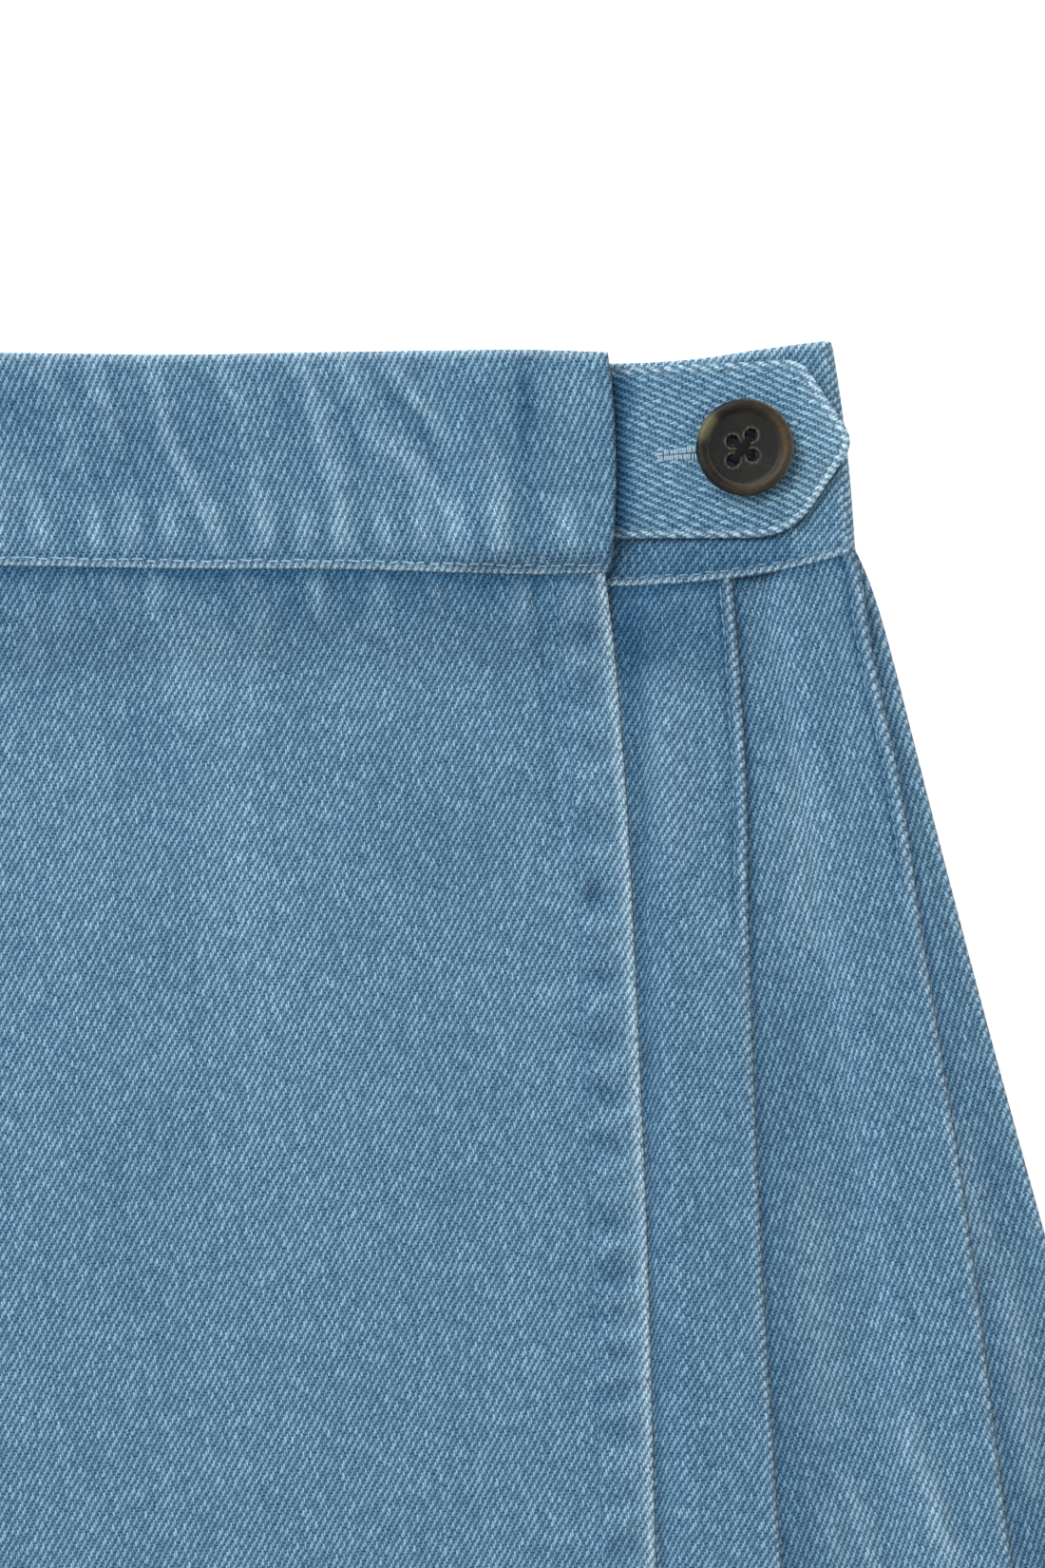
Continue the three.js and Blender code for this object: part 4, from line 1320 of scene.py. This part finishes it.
def front_waistband(material):
    """The over-wrap's waistband, from its end over the tab to the left and round the side."""
    over = step_down(band_free_edge)

    def high(across, down, _thick, _stack):
        over_tab = soft(across, TAB_LIFT["from"], TAB_LIFT["to"])
        above_seam = 1 - soft(down, TAB_LIFT["hold"], TAB_LIFT["out"])
        return band_middle(1 + over(across, down)) + (TAB_THICK + GAP) * over_tab * above_seam

    step_top = minus(band_free_edge, STEP["start"])
    step_foot = minus(step_top, STEP["width"])
    inner, back = round_side(13, -1, high)
    stations = [
        *edge_stations(band_end, 1, high),
        *spread(110, minus(band_end, EDGE_ROUND + 0.4), SHOWN_END, high),
        *spread(60, minus(SHOWN_END, 2.5), minus(step_top, -1), high),
        *spread(8, step_top, step_foot, high),
        *spread(14, minus(step_foot, 2), minus(inner, -1), high),
        *back,
    ]
    return waistband(
        ("front_band_cloth", "front_waistband"), material, stations,
        (front_top, front_seam), "band", band_relief, band_dye_and_shade,
    )


# The closing tab: rings from its outline in to its buttonhole

TAB_CORNERS = (
    (108.0, 4.2, 3.5), (165.0, 1.4, 3.3), (174.9, 16.7, 3.6), (163.1, 34.5, 7.5), (108.0, 34.8, 3.5),
)
CORNER_POINTS = 11
TAB_FLOOR = 4.6
TAB_POINTS = 320
TAB_STITCH_IN = 1.6
TAB_DROP = {"deep": 0.55, "reach": 5}
TAB_SAG = {"deep": 0.175, "from": 137, "reach": 9}
SLIT = {"from": (139.6, 19.3), "to": (158.5, 17.7), "half": 0.05, "lip": 0.5, "in": 12}
TAB_RINGS_IN = (1.05, 1.3, 1.45, 1.6, 1.75, 1.95, 2.25, 2.6, 3.0)
TAB_RINGS_ON = 22
TAB_SEAM = ((0.16, 0.85, 0.5), (-0.26, TAB_STITCH_IN, 0.28))
TAB_PUCKER = ((0.10, 2.3, 0.8),)
TAB_RIM_WEAR = ((0.50, 0.8, 0.8),)
TAB_POINT_WEAR = ((0.30, 0, 3.0),)
TAB_DYE_AND_SHADE = {"whole": -0.04, "point": -0.24, "by_band": 0.7}
TAB_POINT = (158.0, 168.0)
TAB_BY_BAND = (BAND_END["across"] + 1.8, BAND_END["across"] + 7.0)
ROPE_PITCH = 0.56


def run_lengths(line):
    """How far along a line each of its points is."""
    return np.concatenate([[0], np.cumsum(np.linalg.norm(np.diff(line, axis=0), axis=1))])


def on_line(line, lengths, place):
    return np.stack([np.interp(place, lengths, line[:, k]) for k in (0, 1)], axis=-1)


def rounded_outline(corners, count):
    """Points at even spacing round a polygon with rounded corners, and their inward normals."""
    places = np.array([corner[:2] for corner in corners], float)
    share = np.linspace(0, 1, CORNER_POINTS)[:, None]
    loop = []
    for n, (_, _, reach) in enumerate(corners):
        here = places[n]
        before = places[n - 1] - here
        after = places[(n + 1) % len(places)] - here
        start = here + before * reach / np.linalg.norm(before)
        finish_at = here + after * reach / np.linalg.norm(after)
        loop += list((1 - share) ** 2 * start + 2 * share * (1 - share) * here + share ** 2 * finish_at)
    loop = np.array(loop + [loop[0]])
    lengths = run_lengths(loop)
    line = on_line(loop, lengths, np.linspace(0, lengths[-1], count, endpoint=False))
    run = np.roll(line, -1, axis=0) - np.roll(line, 1, axis=0)
    run /= np.linalg.norm(run, axis=1, keepdims=True)
    inward = np.stack([-run[:, 1], run[:, 0]], axis=1)
    if ((line.mean(axis=0) - line) * inward).sum() < 0:
        inward = -inward
    return line, inward


def slit_ring(line):
    """The buttonhole's opening, matched by direction to the tab's outline."""
    start, finish_at = np.array(SLIT["from"]), np.array(SLIT["to"])
    middle = (start + finish_at) / 2
    half_run = (finish_at - start) / 2
    across = np.array([-half_run[1], half_run[0]]) / np.linalg.norm(half_run)
    away = line - middle
    angle = np.arctan2(away @ across, away @ half_run / np.linalg.norm(half_run))
    bulge = SLIT["half"] * np.sin(angle) * np.abs(np.sin(angle))
    return middle + np.cos(angle)[:, None] * half_run + bulge[:, None] * across


def tab_relief(inset, across, down):
    """Height over the tab's flat top: a raised seam rim, the stitched groove and soft puckers."""
    seam = bells(inset, TAB_SEAM) - TAB_DROP["deep"] * (1 - soft(inset, 0, TAB_DROP["reach"]))
    pucker = bells(inset, TAB_PUCKER) * np.sin(across * 1.1 + down * 1.9)
    sag = TAB_SAG["deep"] * soft(TAB_SAG["from"] - across, 0, TAB_SAG["reach"]) * soft(inset, 0.5, 3.0)
    return seam + pucker - sag


def tab_rings():
    """Rings as (places, how far in, how thick), from the outline in to the buttonhole."""
    line, inward = rounded_outline(TAB_CORNERS, TAB_POINTS)
    rings = [(line + inward * a, a, b) for a, b in zip(*edge_shares())]
    rings += [(line + inward * a, a, 1.0) for a in TAB_RINGS_IN]
    inmost, inset, _ = rings[-1]
    slit = slit_ring(line)
    for share in np.linspace(0, 1, TAB_RINGS_ON + 1)[1:]:
        rings.append((lerp(inmost, slit, share), inset + SLIT["in"] * share, 1.0))
    return rings


def tab_grid(rings):
    """The rings of the tab's upper face, in to the buttonhole, and of its lower face back out."""
    middle = TAB_FLOOR + TAB_THICK / 2
    upper, lower = [], []
    for n, (ring, inset, full) in enumerate(rings):
        across, down = ring[:, 0], ring[:, 1]
        half = TAB_THICK / 2 * full * (SLIT["lip"] if n == len(rings) - 1 else 1.0)
        high = middle + half + tab_relief(inset, across, down) * full
        upper.append(np.column_stack([across, up(down), high]))
        lower.append(np.column_stack([across, up(down), np.full(len(ring), middle - half)]))
    return np.array(upper + lower[::-1])


def ring_faces(rings, sides, closed=False):
    """Faces from each ring of points to the next, and from the last to the first where they close."""
    n = np.arange(rings * sides).reshape(rings, sides)
    beside = np.roll(n, -1, axis=1)
    faces = np.stack([n, beside, np.roll(beside, -1, axis=0), np.roll(n, -1, axis=0)], axis=-1)
    return (faces if closed else faces[:-1]).reshape(-1, 4)


def tab_looks(made, across, insets):
    """Wear along the tab's rim and over its point, lighter dye towards the point, and painted shadow by the
    waistband's end.
    """
    by_point = soft(across, *TAB_POINT)
    rope = beads(np.arange(TAB_POINTS) * ROPE_PITCH)
    paled = bells(insets, TAB_RIM_WEAR)[:, None] * rope
    paled = paled + bells(insets, TAB_POINT_WEAR)[:, None] * by_point[:len(insets)]
    add_values(made, "pale_share", np.concatenate([paled, paled * 0]))
    by_band = 1 - soft(across, *TAB_BY_BAND)
    dark = TAB_DYE_AND_SHADE["by_band"] * by_band + TAB_DYE_AND_SHADE["whole"] + TAB_DYE_AND_SHADE["point"] * by_point
    add_values(made, "dye_and_shade", dark)


def waist_tab(material):
    """The pointed tab, and its surface for the sewing."""
    rings = tab_rings()
    grid = tab_grid(rings)
    points = grid.reshape(-1, 3)
    faces = ring_faces(*grid.shape[:2], closed=True)
    first = points[faces[0]]
    if np.cross(first[1] - first[0], first[2] - first[0])[2] < 0:
        faces = faces[:, ::-1]
    made = mesh_object("tab_cloth", points, faces)
    add_threads(made, *thread_places(points[:, 0], points[:, 1], "tab"))
    tab_looks(made, grid[:, :, 0], np.array([ring[1] for ring in rings]))
    finish(made, material, "waist_tab")
    return surface_tree(points, faces)


# Sewing: each stitch is a short thread that dips into the cloth at both ends

STITCH = {"pitch": 2.5, "long": 2.0, "radius": 0.21, "sink": 0.02, "stray": 0.42}
TAB_STITCH = {**STITCH, "pitch": 2.2, "long": 1.7}
STITCH_RINGS = 7
STITCH_SIDES = 6
DROP_FROM = 30.0
PLY_TURN = 2.0
SEAM_SEED = 3
BUTTONHOLE_SEED = 5

# Sewn lines as (start, finish, points), and the buttonhole's whipped lips and bar
BAND_LINE = (-172, photo_across(636), 300)
UNDER_BAND_LINE = (-126, 172, 260)
WRAP_LINE = (WAIST_DOWN + 5, LENGTH - HEM_TURN, 300)
PLEAT_LINE = {"start": WAIST_DOWN + 6, "points": 120}
FRONT_HEM_LINE = (-234, 141, 400)
UNDERLAP_HEM_LINE = (144, 232, 120)
LIP = {"points": 12, "apart": 0.08, "open": 0.1, "reach": 1.0, "wider": 0.7}
WHIP = {"spacing": 0.36, "radius": 0.19, "over": 0.16}
BAR = {"spacing": 0.38, "radius": 0.18, "over": 0.0, "half": 1.0, "out": 0.1, "long": 1.5}
WHIP_STRAY = {"along": 0.7, "across": 0.25}
FLAT_UP = np.array([0, 0, 1.0])


def surface_tree(points, faces):
    return BVHTree.FromPolygons([tuple(p) for p in points], [tuple(int(i) for i in f) for f in faces])


def grid_tree(outer):
    tall, wide = outer.shape[:2]
    return surface_tree(outer.reshape(-1, 3), grid_faces(tall, wide)[:(tall - 1) * (wide - 1)])


def drop(tree, across, down):
    """The place on a surface straight under a point, and the surface's normal there."""
    hit = tree.ray_cast((across, up(down), DROP_FROM), (0, 0, -1))
    return None if hit[0] is None else (np.array(hit[0]), np.array(hit[1]))


def stitch_shape(start, finish_at, normal, radius, lift):
    """Points of one stitch between two places on the cloth."""
    run = finish_at - start
    long = np.linalg.norm(run)
    run = run / long
    normal = normal - run * (normal @ run)
    normal /= np.linalg.norm(normal)
    across = np.cross(normal, run)
    t = np.linspace(-1, 1, STITCH_RINGS)[:, None]
    angle = np.linspace(0, 2 * math.pi, STITCH_SIDES, endpoint=False)[None, :]
    fat = radius * np.sqrt(np.clip(1 - t ** 6, 0.06, 1))
    high = lift * (1 - t ** 4) - radius * 0.9 * t ** 4
    centre = (start + finish_at) / 2 + run * (t * long / 2) + normal * high
    ring = across * (np.cos(angle) * fat)[:, :, None] + normal * (np.sin(angle) * fat * 0.8)[:, :, None]
    return (centre[:, None, :] + ring).reshape(-1, 3)


def sewn(name, stitches, material, *nodes):
    """One object of many stitches, each (start, finish, normal, radius, lift)."""
    ends = np.arange(STITCH_SIDES)
    one = [*ring_faces(STITCH_RINGS, STITCH_SIDES), ends[::-1], ends + (STITCH_RINGS - 1) * STITCH_SIDES]
    per = STITCH_RINGS * STITCH_SIDES
    points = np.concatenate([stitch_shape(*stitch) for stitch in stitches])
    faces = [face + n * per for n in range(len(stitches)) for face in one]
    made = mesh_object(name, points, faces)
    around, along_it = np.meshgrid(np.arange(STITCH_SIDES) / STITCH_SIDES, np.linspace(0, 1, STITCH_RINGS))
    turns = [np.linalg.norm(finish_at - start) / PLY_TURN for start, finish_at, *_ in stitches]
    along_all, around_all = np.outer(turns, along_it.ravel()), np.tile(around.ravel(), len(stitches))
    add_threads(made, along_all * MAP_THREADS, around_all * MAP_THREADS)
    finish(made, material, *nodes)


def stitch_line(tree, line, rng, kind):
    """Stitches along a line of (across, down) places on a surface."""
    lengths = run_lengths(line)
    made = []
    for start in np.arange(kind["pitch"] / 4, lengths[-1] - kind["long"], kind["pitch"]):
        ends = []
        for place in (start, start + kind["long"] * draw(rng, 0.8, 1.1)):
            shift = (rng.random() - 0.5) * kind["stray"]
            ends.append(drop(tree, *(on_line(line, lengths, place) + shift)))
        if None in ends:
            continue
        (first, first_normal), (last, last_normal) = ends
        normal = first_normal + last_normal
        normal /= np.linalg.norm(normal)
        made.append((first, last, normal, kind["radius"], kind["sink"] + kind["radius"] * 0.35))
    return made


def whip_line(tree, inner, outer, kind, rng):
    """Close stitches across from one line to another, as on a buttonhole."""
    step = kind["spacing"] / np.linalg.norm(inner[-1] - inner[0])
    shares = np.linspace(0, 1, len(inner))
    made = []
    for share in np.arange(0, 1, step):
        share += (rng.random() - 0.5) * step * WHIP_STRAY["along"]
        place = on_line(inner, shares, share)
        other = on_line(outer, shares, share) + (rng.random(2) - 0.5) * WHIP_STRAY["across"]
        ends = drop(tree, *place), drop(tree, *other)
        if None in ends:
            continue
        high = max(end[0][2] for end in ends)
        first, last = (np.array([*end[0][:2], high]) for end in ends)
        first = first + kind["over"] * (first - last) / np.linalg.norm(first - last)
        made.append((first, last, FLAT_UP, kind["radius"], kind["radius"] * 0.9))
    return made


def buttonhole(tree, thread):
    """Whipped stitches along both lips of the buttonhole, and a bar across its end."""
    rng = np.random.default_rng(BUTTONHOLE_SEED)
    start, finish_at = np.array(SLIT["from"]), np.array(SLIT["to"])
    run = (finish_at - start) / np.linalg.norm(finish_at - start)
    side_way = np.array([-run[1], run[0]])
    shares = np.linspace(0, 1, LIP["points"])[:, None]
    out = LIP["apart"] + LIP["open"] * (0.1 + 0.5 * soft(shares, 0.1, 0.4))
    reach = LIP["reach"] + LIP["wider"] * soft(shares, 0.1, 0.5)
    stitches = []
    for way in (-side_way, side_way):
        inner = lerp(start, finish_at, shares) + way * out
        stitches += whip_line(tree, inner, inner + way * reach, WHIP, rng)
    bar = np.array([start + way * BAR["half"] - run * BAR["out"] for way in (-side_way, side_way)])
    stitches += whip_line(tree, bar, bar - run * BAR["long"], BAR, rng)
    sewn("buttonhole_stitches", stitches, thread)


def line_across(start, finish_at, count, down_at):
    across = np.linspace(start, finish_at, count)
    return np.column_stack([across, down_at(across)])


def line_down(start, finish_at, count, across_at):
    down = np.linspace(start, finish_at, count)
    return np.column_stack([across_at(down), down])


def hem_stitching(across):
    return hem(across) - HEM_TURN + 1


def tab_stitching():
    line, inward = rounded_outline(TAB_CORNERS, TAB_POINTS)
    ring = line + inward * TAB_STITCH_IN
    return np.concatenate([ring, ring[:1]])


def sewing_lines():
    """Each object of stitches as (name, surface, thread, lines, kind of stitch), in the order of sewing."""
    band = line_across(*BAND_LINE, lambda across: front_seam(across) - STITCH_IN)
    under_band = line_across(*UNDER_BAND_LINE, lambda across: under_seam(across) - STITCH_IN)
    wrap = line_down(*WRAP_LINE, lambda down: wrap_edge(down) - EDGE_TURN)
    pleats = []
    for pleat in PLEATS:
        span = (PLEAT_LINE["start"], pleat["end"], PLEAT_LINE["points"])
        pleats.append(line_down(*span, lambda down: pleat["fold"](down) - PLEAT_STITCH_IN))
    front_hem = line_across(*FRONT_HEM_LINE, hem_stitching)
    underlap_hem = line_across(*UNDERLAP_HEM_LINE, hem_stitching)
    return (
        ("band_stitches", "front_band", "band_thread", [band], STITCH),
        ("underlap_band_stitches", "underlap_band", "tonal_thread", [under_band], STITCH),
        ("wrap_stitches", "front", "tonal_thread", [wrap], STITCH),
        ("pleat_stitches", "underlap", "tonal_thread", pleats, STITCH),
        ("hem_stitches", "front", "tonal_thread", [front_hem], STITCH),
        ("underlap_hem_stitches", "underlap", "tonal_thread", [underlap_hem], STITCH),
        ("tab_stitches", "tab", "tonal_thread", [tab_stitching()], TAB_STITCH),
    )


def sew_all(surfaces, threads):
    """The lines of stitches that show, and the hems."""
    rng = np.random.default_rng(SEAM_SEED)
    for name, surface, thread, lines, kind in sewing_lines():
        stitches = []
        for line in lines:
            stitches += stitch_line(surfaces[surface], line, rng, kind)
        sewn(name, stitches, threads[thread])


# The button

BUTTON_FLOOR = 6.7
BUTTON_PROFILE = (
    (0.0, 0.0), (5.4, 0.0), (7.2, 0.35), (8.2, 0.95), (8.75, 1.5), (9.0, 2.0), (8.95, 2.35),
    (8.75, 2.68), (8.45, 2.9), (8.1, 3.0), (7.75, 3.0), (7.4, 2.9), (7.1, 2.72), (6.85, 2.5),
    (6.6, 2.32), (6.3, 2.22), (5.0, 2.12), (3.0, 2.02), (0.0, 1.98),
)
BUTTON_SIDES = 128
BUTTON_STEP = 0.3
BUTTON_FACE = 2.05
BUTTON_CREASE = 38
HOLES_PX = ((770.5, 465.6), (789.9, 459.0), (791.4, 480.3), (770.9, 485.8))
HOLE = {"radius": 0.98, "flare": 0.42, "deep": 0.5, "sides": 28}
HORN_BROWN = ((0.75, math.radians(10), 0.95), (0.45, math.radians(-80), 0.6))
HORN_KHAKI = {"angle": math.radians(152), "width": 0.32}
OUTER_RIM_HIGHLIGHT = ((0.5, 8.9, 0.22),)
INNER_RIM_HIGHLIGHT = ((0.28, 6.95, 0.22),)
HOLE_WEAR = ((0.6, HOLE["radius"] + HOLE["flare"], 0.2),)
STRAND = {"high": 2.12, "apart": 0.36, "past": 0.35, "radius": 0.24, "lift": 0.1}
SHANK = {"beside": 0.3, "sunk": 0.8, "radius": 0.3}


def lathe(profile, sides):
    """Points and faces of a closed turned shape, with its ends on the axis."""
    ring = profile[1:-1]
    angle = np.linspace(0, 2 * math.pi, sides, endpoint=False)
    points = [(0, 0, profile[0][1])]
    points += [(out * math.cos(a), out * math.sin(a), high) for out, high in ring for a in angle]
    points.append((0, 0, profile[-1][1]))
    faces = []
    for n in range(sides):
        beside = (n + 1) % sides
        faces.append((0, 1 + beside, 1 + n))
        for row in range(len(ring) - 1):
            a = 1 + row * sides
            faces.append((a + n, a + beside, a + sides + beside, a + sides + n))
        top = 1 + (len(ring) - 1) * sides
        faces.append((top + n, top + beside, len(points) - 1))
    return np.array(points, float), faces


def finer(profile, step):
    """A profile with its long straight parts divided."""
    made = [profile[0]]
    for (x0, z0), (x1, z1) in zip(profile, profile[1:]):
        count = max(1, math.ceil(abs(x1 - x0) / step))
        made += [(lerp(x0, x1, n / count), lerp(z0, z1, n / count)) for n in range(1, count + 1)]
    return made


def hole_places():
    return [(photo_across(x), photo_down(y)) for x, y in HOLES_PX]


def cut(made, points, faces):
    """Cuts a closed shape out of an object."""
    cutter = mesh_object("cutter", points, faces, None)
    modifier = made.modifiers.new("hole", "BOOLEAN")
    modifier.operation = "DIFFERENCE"
    modifier.solver = "EXACT"
    modifier.object = cutter
    shape = bpy.data.meshes.new_from_object(made.evaluated_get(bpy.context.evaluated_depsgraph_get()))
    made.modifiers.clear()
    old = made.data
    made.data = shape
    bpy.data.meshes.remove(old)
    bpy.data.objects.remove(cutter)


def cut_holes(made):
    """Cuts the four flared holes through the button."""
    surface = BUTTON_FLOOR + BUTTON_FACE
    radius, wide = HOLE["radius"], HOLE["radius"] + HOLE["flare"]
    low, high = BUTTON_FLOOR - 1, BUTTON_FLOOR + 4
    profile = (
        (0, low), (radius, low), (radius, surface - HOLE["deep"]), (radius * 1.12, surface - 0.22),
        (wide, surface + 0.12), (wide, high), (0, high),
    )
    for across, down in hole_places():
        points, faces = lathe(profile, HOLE["sides"])
        cut(made, points + (across, up(down), 0), faces)


def button_looks(made, place):
    """Horn's brown and khaki round the rim, painted highlights on the rims' lit sides, and pale wear round
    the holes.
    """
    x, y = place[:, 0] - BUTTON["across"], place[:, 1] - up(BUTTON["down"])
    out = np.hypot(x, y)
    angle = np.arctan2(y, x)
    khaki = np.exp(-(np.abs(angle - HORN_KHAKI["angle"]) / HORN_KHAKI["width"]) ** 4)
    add_values(made, "tone", soft(out, 6.3, 7.3) * (bells(angle, HORN_BROWN) - khaki))
    # Painted highlights on the rims' lit sides: the outer rim to the right, the inner rim to the lower left.
    paled = bells(out, OUTER_RIM_HIGHLIGHT) * soft(np.cos(angle - 0.35), 0.0, 0.9)
    paled += bells(out, INNER_RIM_HIGHLIGHT) * soft(-np.cos(angle - 0.9), -0.1, 0.8)
    on_top = soft(place[:, 2] - BUTTON_FLOOR, 1.7, 1.95)
    for across, down in hole_places():
        away = np.hypot(place[:, 0] - across, place[:, 1] - up(down))
        paled += bells(away, HOLE_WEAR) * on_top * beads(away + 2 * across + 3 * place[:, 0])
    add_values(made, "pale_share", paled)


def button(material):
    """The turned four-hole button."""
    points, faces = lathe(finer(BUTTON_PROFILE, BUTTON_STEP), BUTTON_SIDES)
    points += (BUTTON["across"], up(BUTTON["down"]), BUTTON_FLOOR)
    made = mesh_object("horn_button", points, faces)
    cut_holes(made)
    mesh = made.data
    mesh.name = "horn_button"
    mesh.polygons.foreach_set("use_smooth", np.ones(len(mesh.polygons), bool))
    mesh.set_sharp_from_angle(angle=math.radians(BUTTON_CREASE))
    place = np.empty(len(mesh.vertices) * 3)
    mesh.vertices.foreach_get("co", place)
    button_looks(made, place.reshape(-1, 3) / MM)
    finish(made, material, "button")


def button_sewing(thread):
    """Strands from hole to opposite hole over the button, and down to the tab."""
    holes = [np.array([x, up(v)]) for x, v in hole_places()]
    high = BUTTON_FLOOR + STRAND["high"]
    stitches = []
    for a, b in ((0, 2), (1, 3)):
        way = (holes[b] - holes[a]) / np.linalg.norm(holes[b] - holes[a])
        beside = np.array([-way[1], way[0]])
        for offset in (-STRAND["apart"], 0.0, STRAND["apart"]):
            ends = (holes[a] - way * STRAND["past"], holes[b] + way * STRAND["past"])
            start, finish_at = (np.array([*(end + beside * offset), high]) for end in ends)
            stitches.append((start, finish_at, FLAT_UP, STRAND["radius"], STRAND["lift"]))
    for x, y in holes:
        for offset in (-SHANK["beside"], SHANK["beside"]):
            foot = np.array([x + offset, y, TAB_FLOOR + TAB_THICK - SHANK["sunk"]])
            head = np.array([x + offset, y, high - 0.2])
            stitches.append((foot, head, np.array([1.0, 0, 0]), SHANK["radius"], 0.0))
    sewn("button_strands", stitches, thread, "button_thread")


# Camera, light and floor, in metres

CAMERA_FAR = 2.4
SENSOR_WIDE = 36
SKY = 0.52
LIGHTS = (("key", (-1.15, 1.2, 1.6), 1.9, 92), ("fill", (1.4, -0.6, 2.0), 1.6, 10))
FLOOR = {"half": 3.0, "high": -0.0002, "glow": 0.62}


def make_camera():
    """Straight down, framed as the photograph."""
    data = bpy.data.cameras.new("camera")
    data.sensor_width = SENSOR_WIDE
    data.lens = SENSOR_WIDE * CAMERA_FAR / (SHOWN_TALL * MM)
    data.clip_end = 20
    camera = bpy.data.objects.new("camera", data)
    middle = SHOWN_TOP + SHOWN_TALL / 2
    camera.location = ((SHOWN_LEFT + SHOWN_WIDE / 2) * MM, up(middle) * MM, CAMERA_FAR)
    bpy.context.scene.collection.objects.link(camera)
    bpy.context.scene.camera = camera


def make_light():
    """Even daylight, with a large soft lamp from the upper left."""
    scene = bpy.context.scene
    scene.view_settings.view_transform = "Standard"
    world = bpy.data.worlds.new("studio")
    world.use_nodes = True
    background = world.node_tree.nodes["Background"]
    background.inputs[0].default_value = (1, 1, 1, 1)
    background.inputs[1].default_value = SKY
    scene.world = world
    for name, place, size, power in LIGHTS:
        data = bpy.data.lights.new(name, "AREA")
        data.size = size
        data.energy = power
        lamp = bpy.data.objects.new(name, data)
        lamp.location = place
        lamp.rotation_euler = (-lamp.location.normalized()).to_track_quat("-Z", "Y").to_euler()
        scene.collection.objects.link(lamp)


def make_floor():
    """A white floor just under the skirt."""
    half = FLOOR["half"]
    corners = [(-half, -half, 0), (half, -half, 0), (half, half, 0), (-half, half, 0)]
    mesh = bpy.data.meshes.new("floor")
    mesh.from_pydata(corners, [], [(0, 1, 2, 3)])
    floor = bpy.data.objects.new("floor", mesh)
    floor.location.z = FLOOR["high"]
    bpy.context.scene.collection.objects.link(floor)
    mesh.materials.append(Graph("floor").surface(
        (0.9, 0.9, 0.9, 1), Roughness=0.9, Specular_IOR_Level=0.1,
        Emission_Color=(1, 1, 1, 1), Emission_Strength=FLOOR["glow"],
    ))


# The scene

make_camera()
make_light()
make_floor()

denim = denim_material("denim")
threads = {name: thread_material(name, *tones) for name, tones in THREAD_TONES.items()}
surfaces = {
    "front": grid_tree(front_panel(denim)),
    "underlap": grid_tree(underlap_panel(denim)),
    "underlap_band": grid_tree(underlap_waistband(denim)),
    "front_band": grid_tree(front_waistband(denim)),
}
back_piece(("back_cloth", "back_panel"), denim, panel_rows(False), CLOTH)
back_piece(("back_band_cloth", "back_waistband"), denim, band_rows(False), BAND)
surfaces["tab"] = waist_tab(denim_material("tab_denim"))
button(horn_material())
button_sewing(threads["dark_thread"])
buttonhole(surfaces["tab"], threads["pale_thread"])
sew_all(surfaces, threads)
